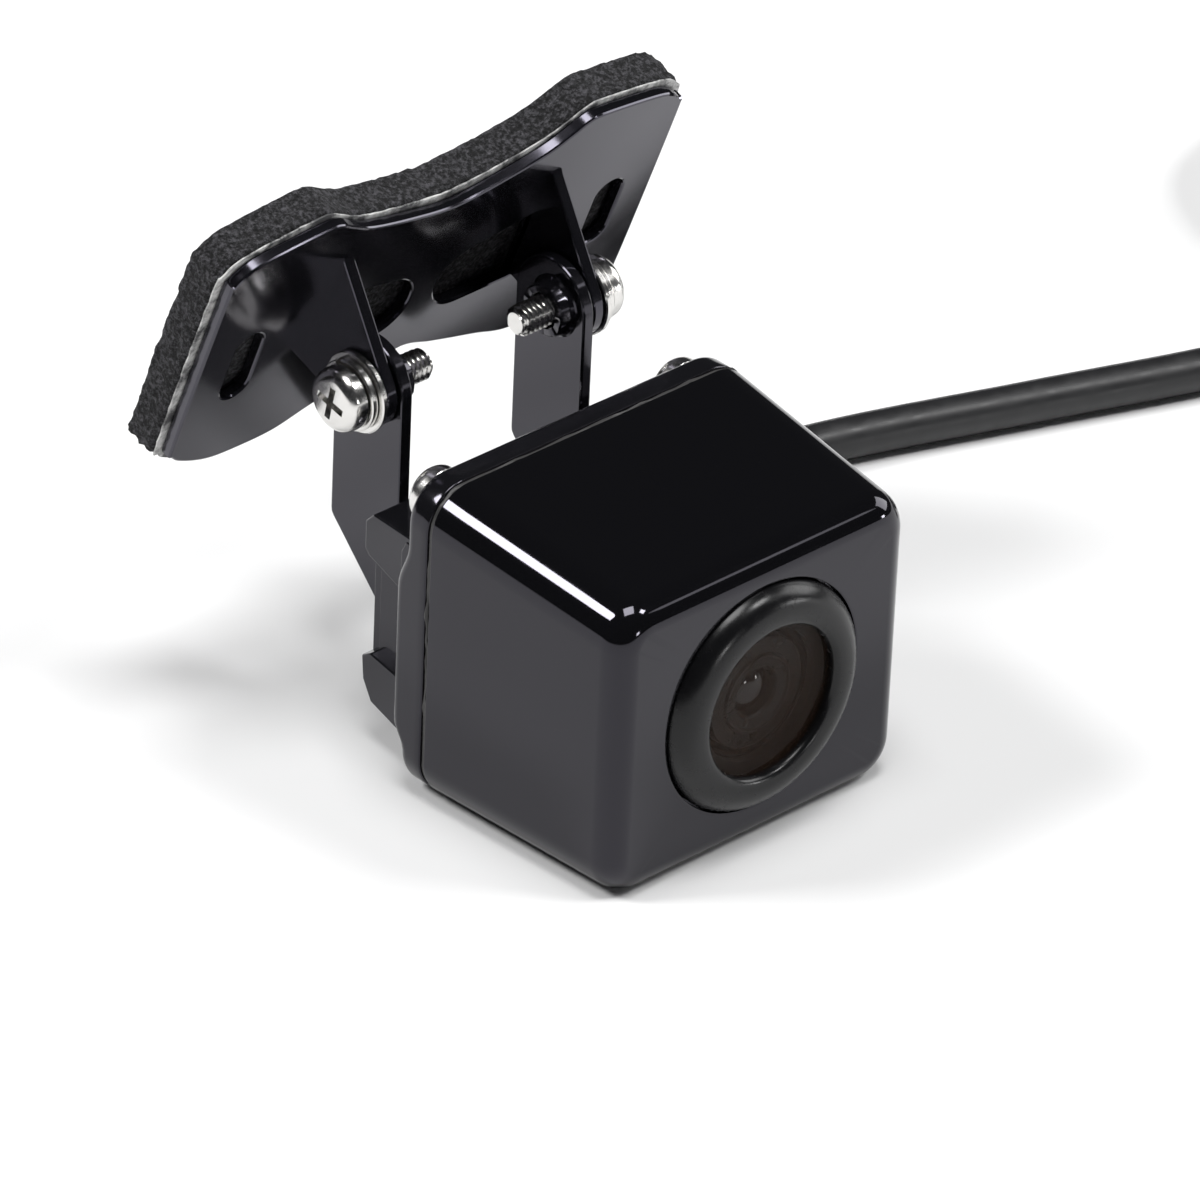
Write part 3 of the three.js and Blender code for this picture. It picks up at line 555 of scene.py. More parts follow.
def tie_skin():
    """A twist tie: a flat band round the middle of the hank, its ends twisted together on top."""
    x = (HANK_X[0] + HANK_X[1]) / 2
    low_y, high_y, top = HANK_Y[0] - 0.35, HANK_Y[1] + 0.35, LAYERS[2] + LEAD_RADIUS + 0.35
    upper, lower = 2.0, 1.2
    bends = (
        (high_y - upper, top - upper, 0, upper), (low_y + upper, top - upper, 90, upper),
        (low_y + lower, 1.3, 180, lower), (high_y - lower, 1.3, 270, lower))
    corners = []
    for cy, cz, start, radius in bends:
        for k in range(7):
            angle = math.radians(start + 15 * k)
            corners.append((cy + radius * math.cos(angle), cz + radius * math.sin(angle)))
    rings = []
    for dx, grow in ((-1.5, 0.0), (-1.5, 0.5), (-0.35, 0.62), (0.35, 0.62), (1.5, 0.5), (1.5, 0.0)):
        ring = []
        for cy, cz in corners:
            out = Vector((cy - HANK_MID, cz - 5)).normalized() * grow
            ring.append((x + dx, cy + out.x, max(cz + out.y, 0.03)))
        rings.append(ring)
    band = loft(rings, wrap=True)
    twist = []
    for strand in (0, 1):
        rings = []
        for i in range(30):
            t = i / 29
            angle = strand * math.pi + t * 5.5 * math.pi
            centre = Vector((
                x + 0.55 * math.cos(angle), HANK_MID - 3 - 7 * t,
                top + 0.95 + 0.4 * math.sin(angle)))
            rings.append([
                tuple(centre + Vector((0.5 * math.cos(a), 0, 0.42 * math.sin(a))))
                for a in (2 * math.pi * k / 10 for k in range(10))])
        twist.append(loft(rings, (True, True)))
    return merged(band, *twist)


tie = settle(mesh_piece("twist_tie", *tie_skin(), SATIN, 35), "camera", "rubber_black", "cable_tie")
lead_pieces.append(tie)

# ------------------------------ shape helpers for the rest


def raw_object(skin):
    """A working object in millimetres, for modifiers."""
    mesh = bpy.data.meshes.new("raw")
    mesh.from_pydata(skin[0], [], skin[1])
    build = bmesh.new()
    build.from_mesh(mesh)
    bmesh.ops.remove_doubles(build, verts=build.verts, dist=1e-4)
    bmesh.ops.recalc_face_normals(build, faces=build.faces)
    build.to_mesh(mesh)
    build.free()
    raw = bpy.data.objects.new("raw", mesh)
    bpy.context.scene.collection.objects.link(raw)
    return raw


def carved(skin, cutters=(), bevel=0.0, segments=3):
    """A closed skin with its edges rounded and other closed skins cut from it."""
    raw = raw_object(skin)
    extra = []
    if bevel:
        rounding = raw.modifiers.new("round", "BEVEL")
        rounding.width = bevel
        rounding.segments = segments
        rounding.limit_method = "ANGLE"
        rounding.angle_limit = math.radians(25)
    for cutter in cutters:
        tool = raw_object(cutter)
        extra.append(tool)
        cut = raw.modifiers.new("cut", "BOOLEAN")
        cut.operation = "DIFFERENCE"
        cut.solver = "EXACT"
        cut.object = tool
    bpy.context.view_layer.update()
    mesh = bpy.data.meshes.new_from_object(raw.evaluated_get(bpy.context.evaluated_depsgraph_get()))
    result = [tuple(v.co) for v in mesh.vertices], [tuple(p.vertices) for p in mesh.polygons]
    for item in (raw, *extra):
        shape = item.data
        bpy.data.objects.remove(item)
        bpy.data.meshes.remove(shape)
    bpy.data.meshes.remove(mesh)
    return result


def box_skin(x0, x1, y0, y1, z0, z1):
    verts = [(x, y, z) for x in (x0, x1) for y in (y0, y1) for z in (z0, z1)]
    faces = [(0, 1, 3, 2), (4, 6, 7, 5), (0, 4, 5, 1), (2, 3, 7, 6), (0, 2, 6, 4), (1, 5, 7, 3)]
    return verts, faces


def signed_area(loop):
    """The area inside a 2D loop, below zero where it runs clockwise."""
    return sum(a[0] * b[1] - b[0] * a[1] for a, b in zip(loop, loop[1:] + loop[:1])) / 2


def shrunk(loop, distance):
    """A loop moved to its left by a distance."""
    count = len(loop)
    result = []
    for i in range(count):
        before, here, after = (Vector(loop[(i + k) % count]) for k in (-1, 0, 1))
        a = (here - before).normalized()
        b = (after - here).normalized()
        left = Vector((-(a.y + b.y), a.x + b.x))
        left.normalize()
        result.append(tuple(here + left * distance))
    return result


def plate_skin(loops, thickness, bevel, edge_noise=0.0, layers=1):
    """A flat sheet from an outline and its holes; it lies across z = 0 and its edges are rounded."""
    levels = [(bevel, -thickness / 2), (bevel * 0.3, -thickness / 2 + bevel * 0.3)]
    for i in range(layers + 1):
        levels.append((0.0, (thickness / 2 - bevel) * (2 * i / layers - 1)))
    levels += [(bevel * 0.3, thickness / 2 - bevel * 0.3), (bevel, thickness / 2)]
    verts, faces, caps = [], [], ([], [])
    for index, loop in enumerate(loops):
        if (signed_area(loop) > 0) != (index == 0):
            loop = loop[::-1]
        start = len(verts)
        count = len(loop)
        for level, (inset, z) in enumerate(levels):
            ring = shrunk(loop, inset) if inset else loop
            for x, y in ring:
                push = edge_noise * noise.noise(Vector((x * 1.7, y * 1.7, z * 1.7)))
                push += edge_noise * 0.7 * noise.noise(Vector((x * 5.0, y * 5.0, z * 4.0 + 9.0)))
                length = max(math.hypot(x, y), 1e-6)
                verts.append((x + push * x / length, y + push * y / length, z))
            if level:
                a, b = start + (level - 1) * count, start + level * count
                for k in range(count):
                    n = (k + 1) % count
                    faces.append((a + k, a + n, b + n, b + k))
        caps[0].append(range(start, start + count))
        caps[1].append(range(start + (len(levels) - 1) * count, start + len(levels) * count))
    for cap in caps:
        order = [i for ring in cap for i in ring]
        flat = [[Vector((verts[i][0], verts[i][1], 0)) for i in ring] for ring in cap]
        faces += [tuple(order[k] for k in triangle) for triangle in tessellate_polygon(flat)]
    return verts, faces


def resampled(points, gap):
    """A closed line with its points evenly spaced."""
    loop = [Vector(p) for p in points] + [Vector(points[0])]
    total = sum((b - a).length for a, b in zip(loop, loop[1:]))
    count = int(total / gap)
    result = []
    index, passed = 0, 0.0
    for k in range(count):
        target = total * k / count
        while passed + (loop[index + 1] - loop[index]).length < target:
            passed += (loop[index + 1] - loop[index]).length
            index += 1
        span = (loop[index + 1] - loop[index]).length
        result.append(tuple(loop[index].lerp(loop[index + 1], (target - passed) / span)))
    return result


def even_normals(piece):
    """Keeps broad flat faces flat where rounded edges meet them."""
    weighted = piece.modifiers.new("normals", "WEIGHTED_NORMAL")
    weighted.keep_sharp = True
    return piece


# ------------------------------ housing

CORNER = 3.4
CORNER_STEPS = 16
EDGE = 2.0
WALL = 1.6
SEAT_RADIUS = 9.12
SEAT_DEPTH = 0.9
APERTURE = 5.0
SEAM_GAP = 0.35
SEAM_MID_Z = REAR_HEIGHT / 2
COVER_RIM = 3.7
COVER_BAND_RIM = 2.7
COVER_EDGE = 0.9


def housing_ring(inset, y, side_steps=20):
    """The housing's outline at y, drawn in by inset; it tapers towards the front."""
    half = REAR_HALF - inset
    low, high = inset, REAR_HEIGHT - inset
    radius = max(CORNER - inset, 0.6)
    along = max(-y, 0.0) / SHELL_DEPTH
    wide = 1 - along * (1 - FRONT_HALF / REAR_HALF)
    tall = 1 - along * (1 - FRONT_HEIGHT / REAR_HEIGHT)
    corners = (
        (half - radius, low + radius, -90), (half - radius, high - radius, 0),
        (radius - half, high - radius, 90), (radius - half, low + radius, 180))
    ring = []
    for cx, cz, start in corners:
        for k in range(CORNER_STEPS + 1):
            angle = math.radians(start + 90 * k / CORNER_STEPS)
            ring.append((cx + radius * math.cos(angle), cz + radius * math.sin(angle)))
    full = []
    for i, (x, z) in enumerate(ring):
        full.append((x * wide, y, z * tall))
        if i % (CORNER_STEPS + 1) == CORNER_STEPS:
            nx, nz = ring[(i + 1) % len(ring)]
            for step in range(1, side_steps):
                t = step / side_steps
                full.append(((x + (nx - x) * t) * wide, y, (z + (nz - z) * t) * tall))
    return full


def towards_lens(ring, radius, y):
    """Points round the lens axis, each in line with a point of the ring and well inside it."""
    points = []
    for x, _, z in ring:
        length = math.hypot(x, z - LENS_Z)
        scale = min(radius, length - 0.15) / length
        points.append((x * scale, y, LENS_Z + (z - LENS_Z) * scale))
    return points


def shell_skin():
    """The front shell: its sides, front edge, lens ring seat and cavity."""
    front = -SHELL_DEPTH
    rings = [housing_ring(0.12, 0.0), housing_ring(0.03, -0.06), housing_ring(0.0, -0.16)]
    rings += [housing_ring(0.0, -2.0 - 3.0 * i) for i in range(5)]
    for degrees in range(0, 91, 9):
        angle = math.radians(degrees)
        rings.append(housing_ring(EDGE * (1 - math.cos(angle)), front + EDGE * (1 - math.sin(angle))))
    face = rings[-1]
    seat = ((1.08, 0.0), (0.2, 0.0), (0.1, 0.0), (0.03, 0.03), (0.0, 0.1), (0.0, SEAT_DEPTH))
    rings += [towards_lens(face, SEAT_RADIUS + grow, front + depth) for grow, depth in seat]
    rings += [
        towards_lens(face, APERTURE, front + SEAT_DEPTH), towards_lens(face, APERTURE, front + 2.2),
        housing_ring(2.6, front + 2.2), housing_ring(WALL, front + 3.0), housing_ring(WALL, 0.0)]
    return loft(rings, wrap=True)


def ease(value):
    """A smooth step from 0 to 1."""
    value = min(max(value, 0.0), 1.0)
    return value * value * (3 - 2 * value)


def cover_skin():
    """The cover's rim and rear face; it is deeper across its middle than in the two screw bands."""
    levels = [(0.12, 0.0), (0.03, 0.06), (0.0, 0.16), (0.0, 0.7)]
    for degrees in range(0, 91, 10):
        angle = math.radians(degrees)
        levels.append((COVER_EDGE * (1 - math.cos(angle)), -COVER_EDGE * (1 - math.sin(angle))))
    levels += [(COVER_EDGE + 0.55 * k, 0.0) for k in range(1, 19)]
    rings = []
    for index, (inset, depth) in enumerate(levels):
        at_seam = index < 4
        ring = []
        for x, _, z in housing_ring(inset, 0.0, 30):
            middle = ease((20.4 - z) / 3.6) * ease((z - 3.4) / 2.2)
            rim = COVER_BAND_RIM + (COVER_RIM - COVER_BAND_RIM) * middle
            ring.append((x, (SEAM_GAP if at_seam else rim) + depth, z))
        rings.append(ring)
    return loft(rings, (True, True))


def prism(profile, half_front, half_rear, y_front=2.4, y_rear=9.6):
    """A bar across the cover from a (y, z) profile; its ends draw in towards the rear."""
    verts = []
    for side in (-1, 1):
        for y, z in profile:
            half = half_front + (half_rear - half_front) * (y - y_front) / (y_rear - y_front)
            verts.append((side * half, y, z))
    count = len(profile)
    faces = [tuple(range(count)), tuple(range(2 * count - 1, count - 1, -1))]
    faces += [(k, (k + 1) % count, count + (k + 1) % count, count + k) for k in range(count)]
    return verts, faces


def cylinder_y(x, z, radius, y0, y1, steps=40):
    """A round bar along Y, to cut holes with."""
    return turned([(0, y0), (radius, y0), (radius, y1), (0, y1)], "y", (x, 0, z), steps)


COVER_SCREWS = [(-8.5, 2.9), (8.5, 2.9), (-11.6, 22.8), (11.6, 22.8)]

shell = mesh_piece("shell", *shell_skin(), GLOSS)
even_normals(settle(shell, "camera", "gloss_black", "front_shell"))

counterbores = [cylinder_y(x, z, 2.4, COVER_BAND_RIM, 12) for x, z in COVER_SCREWS[:2]]
screw_holes = [cylinder_y(x, z, 1.32, 1.0, 12) for x, z in COVER_SCREWS]
boot_hole = cylinder_y(0, EXIT_Z, 2.7, 3.0, 12)
core = carved(prism([(2, 5.6), (8.6, 6.6), (8.6, 15.6), (2, 18.2)], 12.1, 11.85), [boot_hole], 0.1)
ends = []
for side in (-1, 1):
    x0, x1 = sorted((side * 9.75, side * 11.82))
    ends.append(carved(box_skin(x0, x1, 7.0, 9.3, 6.6, 15.8), (), 0.12))
collar = carved(
    prism([(2, 2.7), (4.9, 2.7), (5.3, 3.6), (5.3, 17.8), (4.8, 18.8), (2, 18.9)], 13.15, 13.0),
    counterbores + [boot_hole], 0.15)
lower_profile = [
    (2, 2.6), (4.7, 2.62), (8.4, 3.4), (9.4, 4.9), (9.6, 6.8), (8.6, 7.4), (4.0, 7.0), (2, 7.0)]
lower_rib = carved(prism(lower_profile, 13.2, 12.6), counterbores, 0.14)
upper_profile = [
    (2, 14.3), (5.2, 14.4), (9.1, 15.35), (9.6, 15.8), (9.6, 18.1), (8.7, 19.0), (2, 19.3)]
upper_rib = carved(prism(upper_profile, 13.2, 12.6), (), 0.16)
rim = carved(cover_skin(), screw_holes + [boot_hole])
cover = mesh_piece("cover", *merged(rim, core, *ends, collar, lower_rib, upper_rib), COVER, 40)
even_normals(settle(cover, "camera", "gloss_black", "rear_cover"))


def seam_skin():
    """The sealing bead in the seam, squeezed out a little here and there."""
    rings = []
    for y, base in ((0.02, 0.75), (0.02, 0.2), (0.17, 0.14), (0.33, 0.2), (0.33, 0.75)):
        ring = []
        for x, _, z in housing_ring(base, 0.0):
            length = math.hypot(x, z - SEAM_MID_Z)
            bead = max(noise.noise(Vector((x * 0.9, y * 3, z * 0.9))), 0.0) * (0.42 if base < 0.5 else 0)
            bead += 0.06 * noise.noise(Vector((x * 4, 3.0, z * 4)))
            out = 1 + bead / length
            ring.append((x * out, y, SEAM_MID_Z + (z - SEAM_MID_Z) * out))
        rings.append(ring)
    return loft(rings, wrap=True)


settle(mesh_piece("seam_bead", *seam_skin(), BEAD, 50), "camera", "rubber_black", "housing_gasket")

# ------------------------------ lens window

# Profiles are (radius, y) points about the lens axis.
LENS_AXIS = (0, 0, LENS_Z)
DOME_RADIUS = 2.4
DOME_FRONT = -17.6
bezel_profile = [
    (5.95, -18.9), (5.95, -19.15), (6.03, -19.38), (6.2, -19.54), (6.5, -19.63), (6.95, -19.65),
    (7.5, -19.6), (8.0, -19.42), (8.4, -19.14), (8.72, -18.76), (8.92, -18.34), (9.0, -17.9),
    (9.0, -17.43), (6.33, -17.43), (6.33, -18.9)]
bezel = turned(bezel_profile, "y", LENS_AXIS, 128, closed=True)
settle(mesh_piece("bezel", *bezel, BEZEL, 50), "camera", "satin_black", "lens_bezel")

pane_profile = [
    (0, -18.85), (6.12, -18.85), (6.2, -18.77), (6.22, -18.7), (6.22, -18.25), (6.12, -18.15),
    (0, -18.15)]
pane = mesh_piece("window", *turned(pane_profile, "y", LENS_AXIS, 96), WINDOW, 30)
settle(pane, "camera", "dark_glass", "cover_glass")

barrel_profile = [
    (4.4, -9.6), (4.4, -17.6), (4.3, -17.68), (3.3, -17.72), (3.16, -17.76), (3.08, -17.9),
    (3.0, -17.95), (2.9, -17.9), (2.84, -17.78), (2.74, -17.74), (2.1, -17.72), (2.04, -17.76),
    (1.97, -17.7), (1.88, -17.55), (1.88, -9.6)]
barrel = mesh_piece("barrel", *turned(barrel_profile, "y", LENS_AXIS, 72, closed=True), BARREL, 25)
settle(barrel, "camera", "satin_black", "lens_barrel")

dome_profile = []
for k in range(13):
    angle = 0.07 * k
    dome_profile.append((DOME_RADIUS * math.sin(angle), DOME_FRONT + DOME_RADIUS * (1 - math.cos(angle))))
dome_profile += [(1.8, -15.85), (0, -15.85)]
dome = mesh_piece("dome", *turned(dome_profile, "y", LENS_AXIS, 64), LENS, 40)
settle(dome, "camera", "lens_glass", "front_lens")

# ------------------------------ screws and washers


def pan_head(radius, height):
    """A pan head standing on height 0, along Y, with a cross recess."""
    shank = radius * 0.5
    profile = [(0, -0.4), (shank, -0.4), (shank, 0), (radius * 0.97, 0), (radius, height * 0.05)]
    for k in range(10):
        angle = math.radians(9 * k)
        lift = 0.36 + 0.64 * math.sin(angle) ** 0.9
        profile.append((radius * (0.6 + 0.4 * math.cos(angle)), height * lift))
    profile += [(radius * 0.3, height), (0, height)]
    head = turned(profile, "y", (0, 0, 0), 56)
    reach, half = radius * 0.56, radius * 0.115
    bars = []
    for across in (False, True):
        verts = []
        for y, grow in ((height * 0.3, 0.5), (height * 1.2, 1.12)):
            for sx, sz in ((-1, -1), (1, -1), (1, 1), (-1, 1)):
                a, b = sx * reach * grow, sz * half * (0.7 + 0.3 * grow)
                verts.append((b, y, a) if across else (a, y, b))
        faces = [(0, 1, 2, 3), (7, 6, 5, 4)]
        faces += [(k, (k + 1) % 4, 4 + (k + 1) % 4, 4 + k) for k in range(4)]
        bars.append((verts, faces))
    return carved(head, bars)


def thread(radius, start, end, pitch=0.45):
    """A threaded rod along Y with a drawn-in tip."""
    depth = 0.24
    rings = []
    count = int(abs(end - start) / 0.045)
    for i in range(count + 1):
        y = start + (end - start) * i / count
        fade = min(1.0, (count - i) / 8.0)
        ring = []
        for k in range(36):
            turn = k / 36
            wave = abs(((y / pitch - turn) % 1.0) * 2 - 1)
            r = (radius - depth + depth * wave) * (0.72 + 0.28 * fade)
            ring.append((r * math.cos(2 * math.pi * turn), y, r * math.sin(2 * math.pi * turn)))
        rings.append(ring)
    return loft(rings, (True, True))


def spun(skin, degrees):
    """A skin turned about the Y axis."""
    angle = math.radians(degrees)
    c, s = math.cos(angle), math.sin(angle)
    return moved(skin, lambda p: (p[0] * c - p[2] * s, p[1], p[0] * s + p[2] * c))


THREAD_RADIUS = 1.22
HEAD_X = 11.73
FLAT_WASHER_X = 10.48
LOCK_WASHER_X = 11.03
THREAD_END_X = 4.3
YOKE_SCREW_X = 6.0
FLAT_WASHER = [
    (1.4, 0.06), (1.46, 0), (3.0, 0), (3.1, 0.1), (3.1, 0.4), (3.0, 0.5), (1.46, 0.5), (1.4, 0.44)]
LOCK_WASHER = [
    (1.45, 0.08), (1.52, 0.02), (2.62, 0.02), (2.7, 0.1), (2.7, 0.5), (2.62, 0.58), (1.52, 0.58),
    (1.45, 0.5)]
SMALL_HEAD = pan_head(2.1, 1.45)
COVER_HEAD = pan_head(2.25, 1.6)
LARGE_HEAD = pan_head(2.45, 1.55)

for i, (x, z) in enumerate(COVER_SCREWS):
    screw = merged(spun(COVER_HEAD, 20 + 31 * i), thread(THREAD_RADIUS, 0.0, -8.7))
    screw = moved(screw, lambda p, x=x, z=z: (p[0] + x, p[1] + COVER_BAND_RIM + 0.05, p[2] + z))
    screw = mesh_piece(f"cover_screw_{i + 1}", *screw, NICKEL, 30)
    settle(screw, "camera", "nickel", f"rear_cover_screw_{i + 1}")

for side, word, spin in ((-1, "left", 12), (1, "right", 38)):
    screw = merged(spun(SMALL_HEAD, spin + 50), thread(THREAD_RADIUS, 0.0, -2.8))
    screw = moved(screw, lambda p, side=side: (p[0] + YOKE_SCREW_X * side, p[1] + 9.8, p[2] + EXIT_Z))
    settle(mesh_piece(f"strap_screw_{word}", *screw, NICKEL, 30), "camera", "nickel", f"yoke_screw_{word}")

    def outwards(skin, from_x, side=side):
        """Turns a shape drawn along Y to point outwards along the hinge axis."""
        return moved(skin, lambda p: (side * (p[1] + from_x), HINGE_Y + p[0], HINGE_Z + p[2]))

    screw = merged(spun(LARGE_HEAD, spin), thread(THREAD_RADIUS, 0.0, THREAD_END_X - HEAD_X))
    pivot = mesh_piece(f"pivot_screw_{word}", *outwards(screw, HEAD_X), NICKEL, 30)
    settle(pivot, "camera", "nickel", f"hinge_screw_{word}")

    washer = outwards(turned(FLAT_WASHER, "y", (0, 0, 0), 72, closed=True), FLAT_WASHER_X)
    settle(mesh_piece(f"washer_{word}", *washer, NICKEL, 30), "camera", "nickel", f"flat_washer_{word}")

    rings = []
    for k in range(61):
        angle = math.radians(72 + 348 * k / 60)
        lift = 0.10 * (k / 60 - 0.5)
        rings.append([(r * math.cos(angle), h + lift + 0.03, r * math.sin(angle)) for r, h in LOCK_WASHER])
    washer = outwards(loft(rings, (True, True)), LOCK_WASHER_X)
    settle(mesh_piece(f"split_washer_{word}", *washer, NICKEL, 30), "camera", "nickel", f"lock_washer_{word}")

# ------------------------------ yoke

ARM_X = 8.7
ARM_Y = (9.85, 17.05)
STRIP_Y = 9.25
STRIP_Z = (7.7, 14.5)
STRIP_SECTION = (
    (-0.5, 7.9), (-0.5, 14.3), (-0.44, 14.44), (-0.3, 14.5), (0.3, 14.5), (0.44, 14.44),
    (0.5, 14.3), (0.5, 7.9), (0.44, 7.76), (0.3, 7.7), (-0.3, 7.7), (-0.44, 7.76))
# Each collar's steps: distance from the middle, bore radius and outer radius.
COLLAR_STEPS = (
    (8.25, 1.32, 2.5), (8.12, 1.32, 2.28), (7.9, 1.32, 2.14), (7.4, 1.32, 2.08), (7.12, 1.34, 2.02),
    (7.0, 1.42, 1.9))


def arm_loop():
    """An arm's outline as (y, z) points."""
    centre = (ARM_Y[0] + ARM_Y[1]) / 2
    radius = (ARM_Y[1] - ARM_Y[0]) / 2
    loop = [(9.4, STRIP_Z[0] + 0.15), (10.2, STRIP_Z[0] + 0.25), (11.4, 8.25)]
    loop += [(ARM_Y[1] - 0.25, 13.65), (ARM_Y[1] - 0.05, 13.95), (ARM_Y[1], 14.3)]
    for k in range(25):
        angle = math.pi * k / 24
        loop.append((centre + radius * math.cos(angle), HINGE_Z + radius * math.sin(angle)))
    loop += [(ARM_Y[0], 15.2), (ARM_Y[0] - 0.08, 14.75), (ARM_Y[0] - 0.3, 14.55), (9.4, STRIP_Z[1])]
    return loop


def strip_skin():
    """The yoke's base strip, its two ends bent round into the arms."""
    path = [(-ARM_X, 10.6), (-ARM_X, 10.2)]
    for degrees in range(180, 271, 15):
        angle = math.radians(degrees)
        path.append((-7.75 + 0.95 * math.cos(angle), 10.2 + 0.95 * math.sin(angle)))
    path += [(x, STRIP_Y) for x in (-YOKE_SCREW_X, -4.0, -2.8, 0)]
    path += [(-x, y) for x, y in path[-2::-1]]
    rings = []
    for i, (x, y) in enumerate(path):
        before, after = path[max(i - 1, 0)], path[min(i + 1, len(path) - 1)]
        ahead = Vector((after[0] - before[0], after[1] - before[1])).normalized()
        aside = Vector((-ahead.y, ahead.x))
        rings.append([(x + aside.x * across, y + aside.y * across, z) for across, z in STRIP_SECTION])
    return loft(rings, (True, True))


def collar_skin(side):
    """The threaded collar drawn inwards from an arm, its rim torn uneven."""
    rings = []
    for k in range(56):
        angle = 2 * math.pi * k / 56
        c, s = math.cos(angle), math.sin(angle)
        rough = 0.16 * noise.noise(Vector((c * 2.2, s * 2.2, side * 3.0)))
        tip = 0.22 * noise.noise(Vector((c * 3.1, s * 3.1, 7.0 * side)))
        outside, inside = [], []
        for along, inner, outer in COLLAR_STEPS:
            torn = along + (tip if along < 7.3 else 0)
            outside.append((torn, outer + (rough if along < 8 else 0)))
            inside.append((torn, inner))
        rings.append([
            (side * a, HINGE_Y + r * c, HINGE_Z + r * s) for a, r in outside + inside[::-1]])
    return loft(rings, wrap=True)


strip_holes = [cylinder_y(0, EXIT_Z, 2.78, 7, 12)]
strip_holes += [cylinder_y(x, EXIT_Z, 1.34, 7, 12) for x in (-YOKE_SCREW_X, YOKE_SCREW_X)]
yoke_parts = [carved(strip_skin(), strip_holes)]
for side in (-1, 1):
    arm = plate_skin([arm_loop(), circle(HINGE_Y, HINGE_Z, 1.5, 48)], SHEET, 0.16)
    yoke_parts.append(moved(arm, lambda p, side=side: (side * ARM_X + p[2], p[0], p[1])))
    yoke_parts.append(collar_skin(side))
yoke = mesh_piece("yoke_stamping", *merged(*yoke_parts), PAINT, 18)
even_normals(settle(yoke, "camera", "black_paint", "yoke"))

# ------------------------------ mounting plate and foam pad

EAR_X = 9.9
SLOT_X = 17.2
SLOT_RADIUS = 1.3
FILM = 0.14
FOAM_THICK = 2.95
# The right half of the plate's outline, from the middle of its upper edge to the middle of its lower edge.
PLATE_HALF = [
    (0, 7.5), (4.2, 8.1), (8.2, 9.1), (10.4, 10.2), (11.6, 10.9), (13.0, 11.1), (18.3, 10.5),
    (20.2, 9.9), (21.2, 8.9), (21.5, 7.4), (21.5, -7.6), (21.1, -9.2), (19.8, -10.2),
    (17.2, -11.2), (14.5, -11.4), (11.1, -11.2), (8.2, -10.2), (5.6, -9.4), (3.1, -8.6), (0, -7.6)]


def tilted(point):
    """From the plate's own frame to the part's."""
    x, back, up = point
    c, s = math.cos(PLATE_TILT), math.sin(PLATE_TILT)
    return x, PLATE_Y + back * c - up * s, PLATE_Z + back * s + up * c


def wing_loop(grow):
    """The plate's outline, grown by about grow."""
    mirrored = [(-x, z) for x, z in PLATE_HALF[-2:0:-1]]
    loop = []
    for x, z in smoothed(PLATE_HALF + mirrored, 5):
        scale = 1 + grow / max(math.hypot(x, z), 1.0)
        loop.append((x * scale, z * scale))
    return resampled(loop, 0.4)


def ear_centre():
    """The hinge axis in the plate's own frame."""
    y, z = HINGE_Y - PLATE_Y, HINGE_Z - PLATE_Z
    c, s = math.cos(PLATE_TILT), math.sin(PLATE_TILT)
    return y * c + z * s, z * c - y * s


def on_plate(skin, back):
    """Lays a flat sheet behind the plate's front face and tilts it."""
    return moved(skin, lambda p: tilted((p[0], p[2] + back, p[1])))


holes = []
for side in (-1, 1):
    window = outline_round(circle(side * 4.0, -1.6, 2.8) + [(side * 9.4, -4.3), (side * 9.4, 2.3)])
    holes.append(resampled(window, 0.35))
    slot = outline_round(circle(side * SLOT_X, -3.2, SLOT_RADIUS) + circle(side * SLOT_X, 0.8, SLOT_RADIUS))
    holes.append(resampled(slot, 0.3))

plate_parts = [on_plate(plate_skin([wing_loop(0.0)] + holes, SHEET, 0.18), SHEET / 2)]
ear_y, ear_z = ear_centre()
for side in (-1, 1):
    loop = outline_round(circle(ear_y, ear_z, 2.9) + [(0.7, -4.3), (0.7, 6.8), (0.0, -4.3), (0.0, 6.8)])
    ear = plate_skin([resampled(loop, 0.3), circle(ear_y, ear_z, 1.6, 48)], SHEET, 0.16)
    plate_parts.append(moved(ear, lambda p, side=side: tilted((side * EAR_X + p[2], p[0], p[1]))))
plate = mesh_piece("plate", *merged(*plate_parts), PLATE, 18)
even_normals(settle(plate, "bracket", "black_paint", "mount_plate"))

# The film is drawn where it can be seen, as a rim round the pad; the pad's face fills the windows.
film = on_plate(plate_skin([wing_loop(0.6), wing_loop(-0.9)], FILM, 0.03, 0.12), SHEET + FILM / 2)
settle(mesh_piece("adhesive_film", *film, TAPE, 40), "bracket", "foam_charcoal")
pad = on_plate(plate_skin([wing_loop(0.62)], FOAM_THICK, 0.3, 0.22, 7), 2.62)
pad = settle(mesh_piece("foam", *pad, FOAM, 60), "bracket", "foam_charcoal", "foam_pad")

# ------------------------------ cable boot

boot_bore = LEAD_RADIUS + 0.01
boot_profile = [
    (boot_bore, 2.6), (3.55, 2.6), (3.6, 2.7), (3.6, 5.9), (2.6, 6.0), (2.6, 9.8), (2.95, 9.92),
    (3.08, 10.05), (3.1, 10.4), (3.02, 10.62), (2.8, 10.72), (2.62, 10.78), (2.56, 10.95), (2.42, 11.1),
    (2.42, 11.3), (2.5, 11.42), (2.46, 11.6), (2.26, 11.7), (2.24, 11.88), (2.3, 12.0), (2.2, 12.16),
    (boot_bore, BOOT_END)]
boot = turned(boot_profile, "y", (0, 0, EXIT_Z), 64, closed=True)
settle(mesh_piece("strain_relief", *boot, RUBBER, 40), "camera", "rubber_black", "cable_boot")

# ------------------------------ pieces inside keep their CAD shape

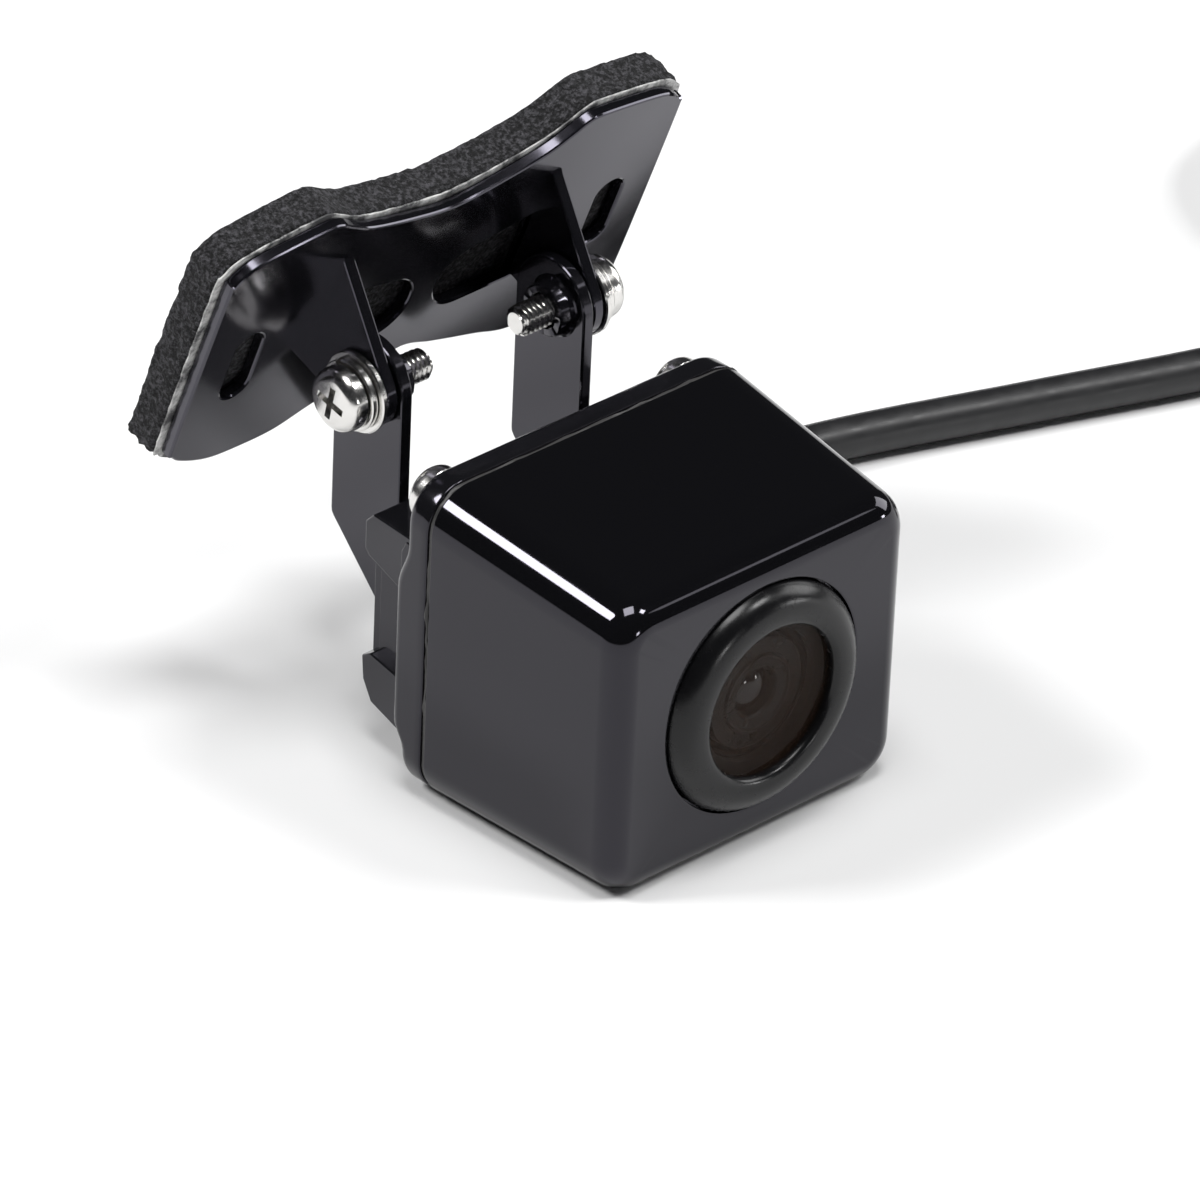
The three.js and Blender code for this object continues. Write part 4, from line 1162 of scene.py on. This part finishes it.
INSIDE = {
    "glass_gasket": RUBBER, "rear_lens": LENS, "lens_holder": BARREL, "infrared_filter": FILTER,
    "image_sensor": CHIP, "sensor_board": BOARD, "video_board": BOARD, "board_header": CHIP,
    "video_chip": CHIP}
for node, surface in INSIDE.items():
    for material_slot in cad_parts[node].material_slots:
        material_slot.material = surface

# ------------------------------ floor and light


def make_floor(half=3.0):
    """A pale floor at z = 0, half metres each way."""
    mesh = bpy.data.meshes.new("floor")
    corners = [(-half, -half, 0), (half, -half, 0), (half, half, 0), (-half, half, 0)]
    mesh.from_pydata(corners, [], [(0, 1, 2, 3)])
    mesh.materials.append(make_material("floor_paint", (0.79, 0.79, 0.79), 0.9, 0.0))
    floor = bpy.data.objects.new("floor", mesh)
    bpy.context.scene.collection.objects.link(floor)


def make_light(name, direction, distance, size, power):
    """An area light in a direction from the part and facing it; metres and watts."""
    data = bpy.data.lights.new(name, "AREA")
    data.shape = "RECTANGLE"
    data.size, data.size_y = size
    data.energy = power
    light = bpy.data.objects.new(name, data)
    bpy.context.scene.collection.objects.link(light)
    toward = Vector(direction).normalized()
    light.location = toward * distance
    light.rotation_euler = toward.to_track_quat("Z", "Y").to_euler()


make_floor()
make_light("overhead", (-0.05, -0.1, 1.0), 1.3, (0.55, 0.55), 10.5)
make_light("rear_left", (-0.53, 0.41, 0.74), 1.1, (0.28, 0.3), 8.0)
make_light("front_spot", (0.38, -0.44, 0.82), 1.3, (0.24, 0.24), 5.0)
make_light("right_fill", (0.9, -0.25, 0.45), 1.6, (0.8, 0.8), 9)
make_light("lens_left", (0.034, -0.983, 0.16), 1.3, (0.14, 0.14), 1.2)
make_light("lens_right", (0.72, -0.68, 0.08), 1.3, (0.15, 0.15), 1.5)
make_light("front_edge", (0.5865, -0.54, 0.6), 1.4, (0.12, 0.13), 0.11)
world = bpy.data.worlds.new("studio")
world.use_nodes = True
background = world.node_tree.nodes["Background"]
background.inputs["Color"].default_value = (0.9, 0.92, 1.0, 1)
background.inputs["Strength"].default_value = 0.03
bpy.context.scene.world = world
bpy.context.scene.view_settings.view_transform = "Standard"
